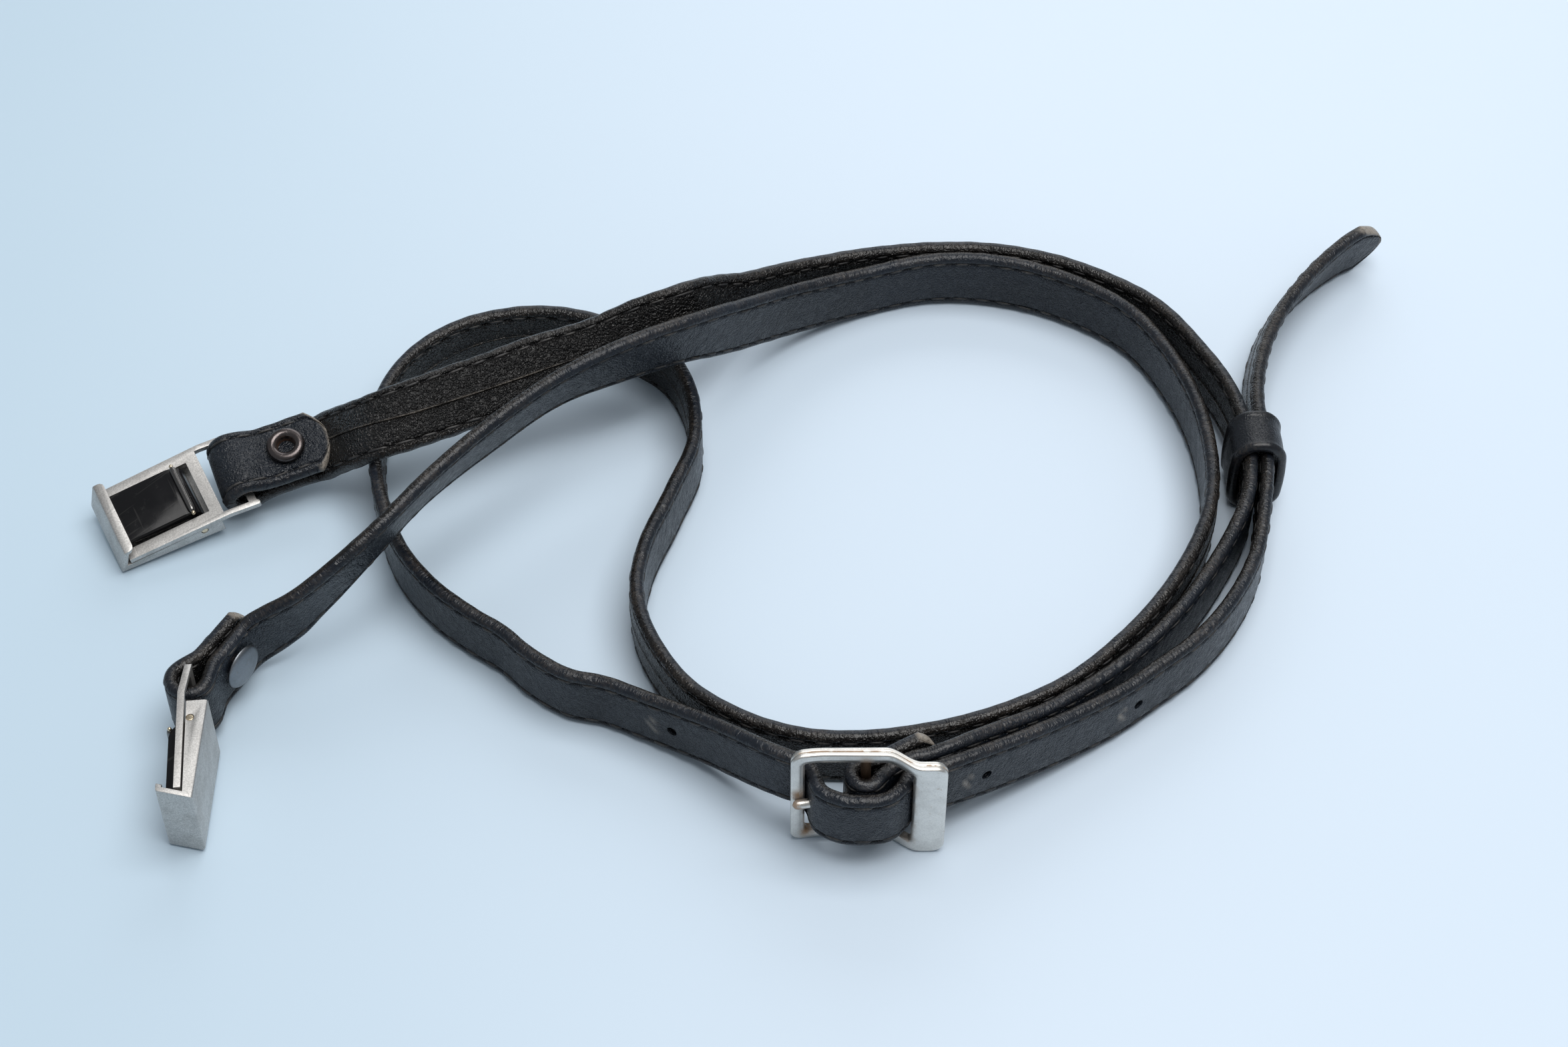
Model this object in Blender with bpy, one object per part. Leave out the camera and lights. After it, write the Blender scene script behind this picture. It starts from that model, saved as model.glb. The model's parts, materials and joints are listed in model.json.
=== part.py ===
"""Narrow leather camera neck strap, laid down in loops, with a buckle, a keeper and two gated clips."""
import math

import bmesh
import bpy
import numpy as np
from mathutils import Matrix, Vector

for left_over in list(bpy.data.objects):
    bpy.data.objects.remove(left_over, do_unlink=True)

# Leather band
STRAP_WIDTH = 0.0120
STRAP_THICK = 0.0023
GAP = 0.0003
LAYER_GAP = 0.0005
LAYER = STRAP_THICK + LAYER_GAP
BAND_STEP = 0.0046
BEND_STEP = 16.0
EDGE_ROUND = 0.36
SAMPLES = 24
WAY_SPAN = 6

# Laid-out plan
LAID_LENGTH = 0.230
LAID_DEPTH = 0.135

# Folded strap ends
FLAP_REACH = 0.0142
FLAP_SETBACK = 0.0005
RIVET_REACH = 0.0090
FLAP_BULGE = 0.0029
TAIL_BULGE = 0.0052
EYE_RADIUS = 0.0012
EYE_PITCH = 0.0294
END_SHARES = (0.86, 0.66, 0.42, 0.16)

# Clip
CLIP_LENGTH = 0.0260
RAIL_WIDTH = 0.0010
SLOT_CLEAR = 0.0006
CLIP_HALF = STRAP_WIDTH / 2 + SLOT_CLEAR + RAIL_WIDTH
PLATE_THICK = 0.0011
SHEET_THICK = 0.0009
BAR_WIDTH = 0.0014
PLATE_BEND = 0.18
CLIP_MOUTH = 0.0007
CLIP_HEEL = 0.0025
LIP_REACH = 0.0018
NOSE_RUN = 0.32
GATE_WIDTH = 0.0095
GATE_PROUD = 0.0021
GATE_SHEET = 0.0006
GATE_PIN_RADIUS = 0.0006
PIN_PLAY = 0.0001
PIN_HOLE_REACH = 0.0200
CHANNEL_TAPER = 0.955

# Rivet
CAP_RADIUS = 0.0038
CAP_RISE = 0.0010
SHANK_RADIUS = 0.0019
FLANGE_RADIUS = 0.0033
FLANGE_RISE = 0.0009
BORE_RADIUS = 0.0013
RIVET_HOLE_REACH = 0.0035

# Keeper
KEEPER_WALL = 0.0012
KEEPER_CLEAR = 0.00035
KEEPER_LENGTH = 0.0080
KEEPER_ASIDE = 0.2935
KEEPER_INNER_ROUND = 0.0009
KEEPER_OUTER_ROUND = 0.0022

# Buckle
BUCKLE_SIDE = 0.0020
BUCKLE_CLEAR = 0.0030
BUCKLE_DEPTH = 0.0018
BUCKLE_LEFT = 0.0116
BUCKLE_RIGHT = 0.0125
NARROW_BAR = 0.0022
BROAD_BAR = 0.0052
CENTRE_BAR_RADIUS = 0.0008
BROAD_FORWARD = 0.0027
NARROW_FORWARD = 0.0008
PRONG_RADIUS = 0.0008
PRONG_EYE_WALL = 0.0009
PRONG_EYE_HALF = 0.0010

# Heights of the band's lower edge above the floor
ON_FLOOR = 0.0
IN_KEEPER = KEEPER_WALL + KEEPER_CLEAR
IN_BUCKLE = BUCKLE_SIDE + BUCKLE_CLEAR
OVER_LOOP = STRAP_WIDTH + GAP

UP = np.array([0.0, 0.0, 1.0])
NEAR = 0.0001
SMOOTH_BELOW = 35.0

# Plan of the long strap from the second clip to the buckle.
# across and along are shares of the laid-out plan, lift is the height of the lower edge,
# lean is how far the band tips to the left of its own way.
LONG_ROWS = (
    # across, along, lift, lean
    (-0.375, -0.242, 0.0030, 0),
    (-0.340, -0.204, 0.0060, -11),
    (-0.293, -0.144, 0.98 * OVER_LOOP, -18),
    (-0.255, -0.067, 1.18 * OVER_LOOP, -21),
    (-0.209, 0.016, 1.26 * OVER_LOOP, -18),
    (-0.163, 0.089, 1.28 * OVER_LOOP, -18),
    (-0.113, 0.141, 1.26 * OVER_LOOP, -11),
    (-0.064, 0.196, 1.06 * OVER_LOOP, -8),
    (-0.039, 0.235, 0.78 * OVER_LOOP, -6),
    (0.012, 0.317, 0.24 * OVER_LOOP, -4),
    (0.065, 0.369, ON_FLOOR, -3),
    (0.117, 0.393, ON_FLOOR, -2),
    (0.170, 0.388, ON_FLOOR, 0),
    (0.221, 0.356, ON_FLOOR, 0),
    (0.270, 0.292, ON_FLOOR, 0),
    (0.305, 0.170, ON_FLOOR, 0),
    (0.316, 0.060, ON_FLOOR, 0),
    (0.311, -0.038, ON_FLOOR, 0),
    (0.282, -0.150, ON_FLOOR, 0),
    (0.239, -0.247, ON_FLOOR, 0),
    (0.186, -0.324, ON_FLOOR, 0),
    (0.104, -0.380, ON_FLOOR, 0),
    (0.012, -0.389, ON_FLOOR, 0),
    (-0.058, -0.330, ON_FLOOR, 0),
    (-0.092, -0.250, ON_FLOOR, 0),
    (-0.105, -0.176, ON_FLOOR, 0),
    (-0.101, -0.104, ON_FLOOR, 0),
    (-0.082, -0.010, ON_FLOOR, 0),
    (-0.067, 0.075, ON_FLOOR, 0),
    (-0.072, 0.164, ON_FLOOR, 0),
    (-0.094, 0.233, ON_FLOOR, 0),
    (-0.140, 0.278, ON_FLOOR, 0),
    (-0.190, 0.295, ON_FLOOR, 0),
    (-0.243, 0.275, ON_FLOOR, 0),
    (-0.282, 0.222, ON_FLOOR, 0),
    (-0.304, 0.135, ON_FLOOR, 0),
    (-0.301, 0.025, ON_FLOOR, 0),
    (-0.279, -0.098, ON_FLOOR, 0),
    (-0.252, -0.163, ON_FLOOR, 0),
    (-0.222, -0.208, ON_FLOOR, 0),
    (-0.199, -0.236, ON_FLOOR, 0),
    (-0.179, -0.270, ON_FLOOR, 0),
    (-0.151, -0.302, ON_FLOOR, 0),
    (-0.126, -0.313, ON_FLOOR, 0),
    (-0.101, -0.333, 0.05 * IN_BUCKLE, 0),
    (-0.055, -0.378, 0.35 * IN_BUCKLE, 0),
)

# The short strap: its free rows, then rows beside the long strap's numbered rows.
# aside is the clear distance beyond the layers between, as a share of the strap's width.
SHORT_ROWS = (
    # across, along, lift, lean
    (-0.302, 0.060, 0.80 * OVER_LOOP, 66),
    (-0.235, 0.108, 0.87 * OVER_LOOP, 55),
)
SHORT_BESIDE = (
    # row, layers, aside, lift, lean
    (5.10, 1, 0.560, 0.86 * OVER_LOOP, 50),
    (5.80, 1, 0.410, 0.90 * OVER_LOOP, 45),
    (6.45, 1, 0.330, 1.00 * OVER_LOOP, 34),
    (7.15, 1, 0.230, 1.03 * OVER_LOOP, 20),
    (8.40, 1, 0.270, 0.54 * OVER_LOOP, 4),
    (9.30, 1, 0.215, 0.16 * OVER_LOOP, -3),
    (10.20, 1, 0.125, ON_FLOOR, -3),
    (11.05, 1, 0.008, ON_FLOOR, -2),
    (12.00, 1, 0.008, ON_FLOOR, 0),
    (13.00, 1, 0.060, ON_FLOOR, 0),
    (14.00, 1, 0.140, ON_FLOOR, 0),
    (14.70, 1, 0.220, 0.20 * IN_KEEPER, 0),
    (15.30, 1, 0.275, 0.85 * IN_KEEPER, 0),
    (15.80, 1, 0.295, IN_KEEPER, 0),
    (16.30, 1, 0.290, IN_KEEPER, 0),
    (16.80, 1, 0.260, 0.60 * IN_KEEPER, 0),
    (17.40, 1, 0.150, ON_FLOOR, 0),
    (18.30, 1, 0.075, ON_FLOOR, 0),
    (19.20, 1, 0.030, ON_FLOOR, 0),
    (20.10, 1, 0.040, 0.14 * IN_BUCKLE, 0),
    (20.60, 1, 0.165, 0.52 * IN_BUCKLE, 0),
)

# The long strap after the buckle, beside the same rows, up to the keeper.
LONG_BESIDE = (
    # row, layers, aside, lift, lean
    (20.55, 2, 0.200, 0.60 * IN_BUCKLE, 0),
    (20.00, 2, 0.085, 0.20 * IN_BUCKLE, 0),
    (19.50, 2, 0.110, ON_FLOOR, 0),
    (19.05, 2, 0.175, ON_FLOOR, 0),
    (18.55, 2, 0.290, ON_FLOOR, 0),
    (18.00, 2, 0.355, ON_FLOOR, 0),
    (17.40, 2, 0.345, ON_FLOOR, 0),
    (16.80, 2, 0.275, 0.60 * IN_KEEPER, 0),
    (16.30, 2, 0.290, IN_KEEPER, 0),
    (15.80, 2, 0.295, IN_KEEPER, 0),
)
TAIL_ROWS = (
    # across, along, lift, lean
    (0.3553, 0.155, 0.60 * IN_KEEPER, -3),
    (0.3640, 0.236, 0.15 * IN_KEEPER, -10),
    (0.3780, 0.300, ON_FLOOR, -16),
    (0.3960, 0.352, ON_FLOOR, -18),
    (0.4160, 0.394, ON_FLOOR, -16),
    (0.4420, 0.436, ON_FLOOR, -12),
    (0.4540, 0.450, ON_FLOOR, -10),
)

# Places and headings of the strap ends and of the fittings
CLIP_1_AT = (-0.406, 0.043)
CLIP_1_HEADING = 21.0
CLIP_1_RISE = 5.0
CLIP_1_LEAN = 78.5
CLIP_1_SKEW = 6.0
CLIP_1_SWING = -3.0
CLIP_2_AT = (-0.4125, -0.317)
CLIP_2_HEADING = 60.0
CLIP_2_SWING = -35.0
BUCKLE_AT = (0.0548, -0.4727)
KEEPER_ROW = 16.05


def unit(v):
    """The vector at a length of one."""
    return v / np.linalg.norm(v)


def turn(v, axis, degrees):
    """The vector turned about an axis by an angle."""
    return np.array(Matrix.Rotation(math.radians(degrees), 3, Vector(axis)) @ Vector(v))


def fine_way(rows):
    """A smooth way through the rows in many short steps; the first three columns are the place."""
    rows = np.asarray(rows, float)
    ends = (2 * rows[0] - rows[1], 2 * rows[-1] - rows[-2])
    knots = np.vstack([ends[0], rows, ends[1]])
    chord = np.sqrt(np.linalg.norm(np.diff(knots[:, :3], axis=0), axis=1)) + 1e-9
    t = np.linspace(0, 1, SAMPLES, endpoint=False)[:, None]
    parts = []
    for i in range(1, len(knots) - 2):
        p0, p1, p2, p3 = knots[i - 1:i + 3]
        a, b, c = chord[i - 1:i + 2]
        m1 = ((p1 - p0) / a - (p2 - p0) / (a + b)) * b + (p2 - p1)
        m2 = ((p3 - p2) / c - (p3 - p1) / (b + c)) * b + (p2 - p1)
        h = 2 * t**3 - 3 * t**2 + 1, t**3 - 2 * t**2 + t, 3 * t**2 - 2 * t**3, t**3 - t**2
        parts.append(h[0] * p1 + h[1] * m1 + h[2] * p2 + h[3] * m2)
    return np.vstack(parts + [rows[-1:]])


def length_along(places):
    """The length walked from the first place to each of them."""
    return np.concatenate([[0], np.cumsum(np.linalg.norm(np.diff(places[:, :3], axis=0), axis=1))])


def smooth(rows):
    """A smooth way through the rows at the band's step, which is shorter where the way bends."""
    fine = fine_way(rows)
    run = length_along(fine)
    way = np.diff(fine[:, :3], axis=0)
    way /= np.linalg.norm(way, axis=1)[:, None]
    bend = np.degrees(np.arccos(np.clip(np.sum(way[1:] * way[:-1], axis=1), -1, 1)))
    bend = np.concatenate([[0], bend, [0]])
    hop = np.gradient(run)
    need = np.maximum(1 / BAND_STEP, np.convolve(bend, np.ones(5) / 5, "same") / hop / BEND_STEP)
    count = np.concatenate([[0], np.cumsum((need[1:] + need[:-1]) / 2 * np.diff(run))])
    at = np.interp(np.linspace(0, count[-1], int(round(count[-1])) + 1), count, run)
    return np.column_stack([np.interp(at, run, fine[:, k]) for k in range(fine.shape[1])])


def plan_rows(table):
    """Free rows as place and lean: the band's middle stands half its width over the lifted edge."""
    out = []
    for across, along, lift, lean in table:
        out.append([across * LAID_LENGTH, along * LAID_DEPTH, lift + STRAP_WIDTH / 2, lean])
    return out


def beside_rows(table, guide):
    """Rows that run beside the guide's numbered rows, whole layers and a clear distance away."""
    out = []
    last = len(guide) - 1
    for row, layers, aside, lift, lean in table:
        k = min(row * SAMPLES, last - 1)
        lo = int(k)
        place = guide[lo] + (guide[lo + 1] - guide[lo]) * (k - lo)
        way = unit(guide[min(lo + WAY_SPAN, last), :2] - guide[max(lo - WAY_SPAN, 0), :2])
        away = layers * LAYER + aside * STRAP_WIDTH
        out.append([place[0] - way[1] * away, place[1] + way[0] * away, lift + STRAP_WIDTH / 2, lean])
    return out


def with_width(rows):
    """Place rows with the direction of the band's width in place of the lean."""
    rows = np.asarray(rows, float)
    way = np.gradient(rows[:, :2], axis=0)
    way /= np.linalg.norm(way, axis=1)[:, None]
    lean = np.radians(rows[:, 3])
    side = np.column_stack([-way[:, 1], way[:, 0], np.zeros(len(rows))])
    wide = UP * np.cos(lean)[:, None] + side * np.sin(lean)[:, None]
    return np.hstack([rows[:, :3], wide])


def fold_rows(place, way, wide, flap_side, radius):
    """A strap end folded round a bar: flap, half turn, then the straight part under the rivet."""
    half = LAYER / 2
    flat = [
        (FLAP_REACH - FLAP_SETBACK, half),
        (RIVET_REACH, half),
        (0.50 * FLAP_REACH, half),
        (radius * 1.45, half * 1.12),
    ]
    turn_at = []
    for degrees in range(75, 286, 30):
        a = math.radians(degrees)
        turn_at.append((radius * math.cos(a), radius * math.sin(a)))
    back = [(u, -n) for u, n in reversed(flat)]
    rows = []
    for u, n in flat + turn_at + back:
        rows.append(np.concatenate([place + way * u + flap_side * n, wide]))
    return rows


def frames(path):
    """Place, way, width and face directions at each row of a path."""
    place = path[:, :3]
    way = np.gradient(place, axis=0)
    way /= np.linalg.norm(way, axis=1)[:, None]
    wide = path[:, 3:6] - way * np.sum(path[:, 3:6] * way, axis=1)[:, None]
    wide /= np.linalg.norm(wide, axis=1)[:, None]
    return place, way, wide, np.cross(wide, way)


def rounded_end(path, bulge, at_start):
    """Adds the narrowing rows of a rounded cut end; returns the path and the share of the width."""
    place, way, wide, _ = frames(path)
    k = 0 if at_start else -1
    sign = -1 if at_start else 1
    extra = []
    for s in END_SHARES:
        extra.append(np.concatenate([place[k] + sign * way[k] * bulge * (1 - s * s), wide[k]]))
    if at_start:
        return np.vstack(extra[::-1] + [path]), list(END_SHARES[::-1]) + [1.0] * len(path)
    return np.vstack([path] + extra), [1.0] * len(path) + list(END_SHARES)


def band(path, share):
    """A closed band with softened edges along a path of places and width directions."""
    place, way, wide, face = frames(path)
    bm = bmesh.new()
    t = STRAP_THICK / 2
    r = STRAP_THICK * EDGE_ROUND
    rings = []
    for i, part in enumerate(share):
        w = STRAP_WIDTH / 2 * part
        c = min(r, w * 0.5)
        upper = ((w, t - r), (w - c, t), (-w + c, t), (-w, t - r))
        outline = upper + tuple((-a, -b) for a, b in upper)
        rings.append([bm.verts.new(place[i] + wide[i] * a + face[i] * b) for a, b in outline])
    for one, two in zip(rings, rings[1:]):
        for k in range(len(one)):
            j = (k + 1) % len(one)
            bm.faces.new((one[k], one[j], two[j], two[k]))
    bm.faces.new(rings[0][::-1])
    bm.faces.new(rings[-1])
    return finish(bm)


def finish(bm):
    """The mesh of a solid with its faces turned outward."""
    bmesh.ops.recalc_face_normals(bm, faces=bm.faces)
    mesh = bpy.data.meshes.new("solid")
    bm.to_mesh(mesh)
    bm.free()
    return mesh


def cells(xs, ys, zs, filled):
    """The closed solid made of the filled cells of a box grid."""
    bm = bmesh.new()
    made = {}

    def vert(i, j, k):
        if (i, j, k) not in made:
            made[i, j, k] = bm.verts.new((xs[i], ys[j], zs[k]))
        return made[i, j, k]

    def full(i, j, k):
        inside = 0 <= i < len(xs) - 1 and 0 <= j < len(ys) - 1 and 0 <= k < len(zs) - 1
        return inside and filled((xs[i] + xs[i + 1]) / 2, (ys[j] + ys[j + 1]) / 2, (zs[k] + zs[k + 1]) / 2)

    # each side of a cell: the neighbour's step, then the corners in order
    sides = (
        ((-1, 0, 0), ((0, 0, 0), (0, 0, 1), (0, 1, 1), (0, 1, 0))),
        ((1, 0, 0), ((1, 0, 0), (1, 1, 0), (1, 1, 1), (1, 0, 1))),
        ((0, -1, 0), ((0, 0, 0), (1, 0, 0), (1, 0, 1), (0, 0, 1))),
        ((0, 1, 0), ((0, 1, 0), (0, 1, 1), (1, 1, 1), (1, 1, 0))),
        ((0, 0, -1), ((0, 0, 0), (0, 1, 0), (1, 1, 0), (1, 0, 0))),
        ((0, 0, 1), ((0, 0, 1), (1, 0, 1), (1, 1, 1), (0, 1, 1))),
    )
    for i in range(len(xs) - 1):
        for j in range(len(ys) - 1):
            for k in range(len(zs) - 1):
                if not full(i, j, k):
                    continue
                for (a, b, c), corners in sides:
                    if not full(i + a, j + b, k + c):
                        bm.faces.new([vert(i + u, j + v, k + w) for u, v, w in corners])
    return bm


def soften(bm, chosen, offset, segments=2):
    """Rounds the edges that the test picks by their middle and their direction."""
    bm.normal_update()
    edges = []
    for e in bm.edges:
        one, two = e.verts[0].co, e.verts[1].co
        if e.calc_face_angle() > 0.3 and chosen((one + two) / 2, (two - one).normalized()):
            edges.append(e)
    bmesh.ops.bevel(
        bm, geom=edges, offset=offset, segments=segments, profile=0.5, affect="EDGES", clamp_overlap=True
    )


def prism(outline, low, high):
    """A closed solid: an outline in the first and third axis, drawn out along the second."""
    bm = bmesh.new()
    near = [bm.verts.new((u, low, w)) for u, w in outline]
    far = [bm.verts.new((u, high, w)) for u, w in outline]
    count = len(outline)
    for k in range(count):
        j = (k + 1) % count
        bm.faces.new((near[k], near[j], far[j], far[k]))
    bm.faces.new(near[::-1])
    bm.faces.new(far)
    return bm


def turned(profile, segments=24):
    """A closed solid turned about the third axis; its rows of radius and height start and end on it."""
    bm = bmesh.new()
    angles = [2 * math.pi * k / segments for k in range(segments)]
    rings = []
    for r, z in profile:
        if r == 0:
            rings.append([bm.verts.new((0, 0, z))])
        else:
            rings.append([bm.verts.new((r * math.cos(a), r * math.sin(a), z)) for a in angles])
    for one, two in zip(rings, rings[1:]):
        for k in range(segments):
            j = (k + 1) % segments
            corners = [one[k % len(one)], one[j % len(one)], two[j % len(two)], two[k % len(two)]]
            face = []
            for v in corners:
                if v not in face:
                    face.append(v)
            bm.faces.new(face)
    return bm


def rod(start, end, radius, segments=16):
    """A round rod from one place to another."""
    start = Vector(start)
    along = Vector(end) - start
    bm = turned(((0, 0), (radius, 0), (radius, along.length), (0, along.length)), segments)
    spin = along.to_track_quat("Z", "Y").to_matrix().to_4x4()
    bmesh.ops.transform(bm, matrix=Matrix.Translation(start) @ spin, verts=bm.verts)
    return bm


def placed(bm, axes, origin):
    """The solid moved from its own axes to the laid-out frame."""
    m = Matrix.Identity(4)
    for c in range(3):
        for r in range(3):
            m[r][c] = axes[c][r]
        m[c][3] = origin[c]
    bmesh.ops.transform(bm, matrix=m, verts=bm.verts)
    return bm


def cut(mesh, tools, operation="DIFFERENCE"):
    """The mesh with other solids cut from it or joined to it."""
    body = bpy.data.objects.new("body", mesh)
    bpy.context.scene.collection.objects.link(body)
    for tool in tools:
        other = bpy.data.objects.new("tool", tool)
        cutters.objects.link(other)
        other.hide_render = True
        other.display_type = "WIRE"
        modifier = body.modifiers.new("cut", "BOOLEAN")
        modifier.operation = operation
        modifier.solver = "EXACT"
        modifier.object = other
    bpy.context.view_layer.update()
    result = bpy.data.meshes.new_from_object(body.evaluated_get(bpy.context.evaluated_depsgraph_get()))
    for other in list(cutters.objects):
        bpy.data.objects.remove(other)
    bpy.data.objects.remove(body)
    bm = bmesh.new()
    bm.from_mesh(result)
    bmesh.ops.remove_doubles(bm, verts=bm.verts, dist=0.00001)
    bmesh.ops.dissolve_degenerate(bm, dist=0.00001, edges=bm.edges)
    return finish(bm)


def material(name, colour, roughness, metallic):
    """A plain finish of one colour."""
    m = bpy.data.materials.new(name)
    m.use_nodes = True
    shader = m.node_tree.nodes["Principled BSDF"]
    shader.inputs["Base Color"].default_value = (*colour, 1.0)
    shader.inputs["Roughness"].default_value = roughness
    shader.inputs["Metallic"].default_value = metallic
    return m


# The buckle's own frame: first axis along the strap, second axis away from the viewer, third up
buckle_origin = np.array([BUCKLE_AT[0] * LAID_LENGTH, BUCKLE_AT[1] * LAID_DEPTH, 0.0])
BUCKLE_HEIGHT = STRAP_WIDTH + 2 * (BUCKLE_SIDE + BUCKLE_CLEAR)
FOLD_RADIUS = CENTRE_BAR_RADIUS + GAP + STRAP_THICK / 2
BEHIND_BAR = BUCKLE_DEPTH / 2 + GAP + STRAP_THICK / 2


def buckle_forward(x):
    """How far the frame stands towards the viewer along its length."""
    right = min(max((x - 0.0030) / 0.0055, 0.0), 1.0)
    left = min(max((-x - 0.0060) / 0.0060, 0.0), 1.0)
    return -BROAD_FORWARD * right * right * (3 - 2 * right) - NARROW_FORWARD * left * left


def in_buckle(rows):
    """Rows in the buckle's frame as placed rows with an upright width."""
    out = []
    for x, y in rows:
        place = buckle_origin + np.array([x, y, IN_BUCKLE + STRAP_WIDTH / 2])
        out.append(np.concatenate([place, UP]))
    return out


long_inside = (
    (-BUCKLE_LEFT - 0.0030, BEHIND_BAR + 0.0024),
    (-BUCKLE_LEFT, BEHIND_BAR + 0.0010),
    (-BUCKLE_LEFT + NARROW_BAR - 0.0002, BEHIND_BAR + 0.0004),
    (-0.0075, 0.0005),
    (-0.0049, -(FOLD_RADIUS + LAYER) * 0.56),
    (0.0000, -(FOLD_RADIUS + LAYER)),
    (0.0037, -(FOLD_RADIUS + LAYER) * 0.68),
    (0.0057, -0.0018),
    (0.0073, BEHIND_BAR - BROAD_FORWARD + 0.0007),
    (0.0096, BEHIND_BAR - BROAD_FORWARD + 0.0012),
    (BUCKLE_RIGHT, BEHIND_BAR - BROAD_FORWARD + 0.0022),
)
short_inside = (
    (BUCKLE_RIGHT + 0.0010, BEHIND_BAR - BROAD_FORWARD + 0.0029 + LAYER),
    (0.0100, BEHIND_BAR - BROAD_FORWARD + 0.0014 + LAYER),
    (0.0074, BEHIND_BAR - BROAD_FORWARD + 0.0007 + LAYER),
    (0.0050, 0.0019),
    (0.0029, 0.0001),
)
short_angles = [math.radians(degrees) for degrees in range(-62, -271, -26)]
short_turn = tuple((FOLD_RADIUS * math.cos(a), FOLD_RADIUS * math.sin(a)) for a in short_angles)
short_flap = (
    (0.0018, FOLD_RADIUS + 0.0004),
    (0.0040, FOLD_RADIUS + 0.0019),
    (0.0086, BEHIND_BAR - BROAD_FORWARD + 0.0016 + 2 * LAYER),
)

# The long strap's way
LOOP_RADIUS = 0.0018 + STRAP_THICK / 2
clip_2_bar = np.array([CLIP_2_AT[0] * LAID_LENGTH, CLIP_2_AT[1] * LAID_DEPTH, CLIP_HALF])
heading_2 = turn((1, 0, 0), UP, CLIP_2_HEADING)
flap_side_2 = turn(heading_2, UP, 90)
start_2 = fold_rows(clip_2_bar, heading_2, UP, flap_side_2, LOOP_RADIUS)
guide_rows = plan_rows(LONG_ROWS)
first = [*(clip_2_bar + heading_2 * 0.9 * FLAP_REACH - flap_side_2 * LAYER / 2), 0]
guide = fine_way(np.array([first] + guide_rows))[SAMPLES:]
out_rows = with_width(guide_rows)[1:]
out_of_buckle = [[*r[:3], 0] for r in in_buckle(long_inside)[-2:]]
beside_2 = with_width(out_of_buckle + beside_rows(LONG_BESIDE, guide) + plan_rows(TAIL_ROWS))[2:]
long_path = smooth(np.vstack(start_2 + [out_rows, np.array(in_buckle(long_inside)), beside_2]))

# The short strap's way
way_1 = turn(turn((1, 0, 0), (0, 1, 0), -CLIP_1_RISE), UP, CLIP_1_HEADING)
left_1 = turn((0, 1, 0), UP, CLIP_1_HEADING)
wide_1 = unit(turn(np.cross(way_1, left_1), way_1, -CLIP_1_LEAN))
face_1 = np.cross(way_1, wide_1)


def clip_axes(way, flap_side, skew, swing):
    """The clip's own axes: lip to bar, across, and out of its back; it hangs on the strap's fold."""
    across = np.cross(flap_side, way)
    way = turn(way, flap_side, skew)
    across = np.cross(flap_side, way)
    way = turn(way, across, swing)
    return way, across, np.cross(way, across)


# Clip solids in the clip's own frame: along from the lip end, across, and out of the back
BEND_START = CLIP_LENGTH * 0.79
BAR_AT = CLIP_LENGTH - BAR_WIDTH / 2 - 0.0004
SLOT_END = BAR_AT - BAR_WIDTH / 2
CROSS_END = BAR_AT - LOOP_RADIUS - STRAP_THICK / 2 - 0.0011
WINDOW_END = CROSS_END - 0.0021
COVER_END = WINDOW_END + 0.0012
PIN_AT = WINDOW_END - 0.0021
PIN_LEVEL = -(PLATE_THICK / 2 + GAP + 0.0007)
NOSE_LEVEL = -(PLATE_THICK / 2 + GAP + CLIP_MOUTH + SHEET_THICK)
LIP_LEVEL = GATE_PROUD + GAP
WINDOW_HALF = GATE_WIDTH / 2 + 0.0005
BAR_LEVEL = -PLATE_BEND * (BAR_AT - BEND_START)
COVER_HALF = CLIP_HALF * CHANNEL_TAPER


def plate_solid():
    """The frame plate: two rails beside the gate, crossbar, strap slot, end bar and two rail ends."""
    half = PLATE_THICK / 2
    front = SHEET_THICK + GAP + NOSE_RUN * (half - NOSE_LEVEL)
    xs = (front, BEND_START, WINDOW_END, CROSS_END, SLOT_END, SLOT_END + BAR_WIDTH, CLIP_LENGTH)
    ys = (-CLIP_HALF, -CLIP_HALF + RAIL_WIDTH, -WINDOW_HALF, WINDOW_HALF, CLIP_HALF - RAIL_WIDTH, CLIP_HALF)

    def filled(x, y, z):
        if x < WINDOW_END:
            return abs(y) > WINDOW_HALF
        if CROSS_END < x < SLOT_END or x > SLOT_END + BAR_WIDTH:
            return abs(y) > CLIP_HALF - RAIL_WIDTH
        return True

    bm = cells(sorted(xs), ys, (-half, half), filled)
    soften(bm, lambda c, d: abs(d.z) > 0.9 and c.x > CLIP_LENGTH - NEAR, RAIL_WIDTH * 0.42, 3)
    for v in bm.verts:
        v.co.z -= PLATE_BEND * max(v.co.x - BEND_START, 0)
        if abs(v.co.y) > CLIP_HALF - RAIL_WIDTH * 0.5:
            v.co.y *= CHANNEL_TAPER + (1 - CHANNEL_TAPER) * v.co.x / CLIP_LENGTH
    return bm


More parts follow.
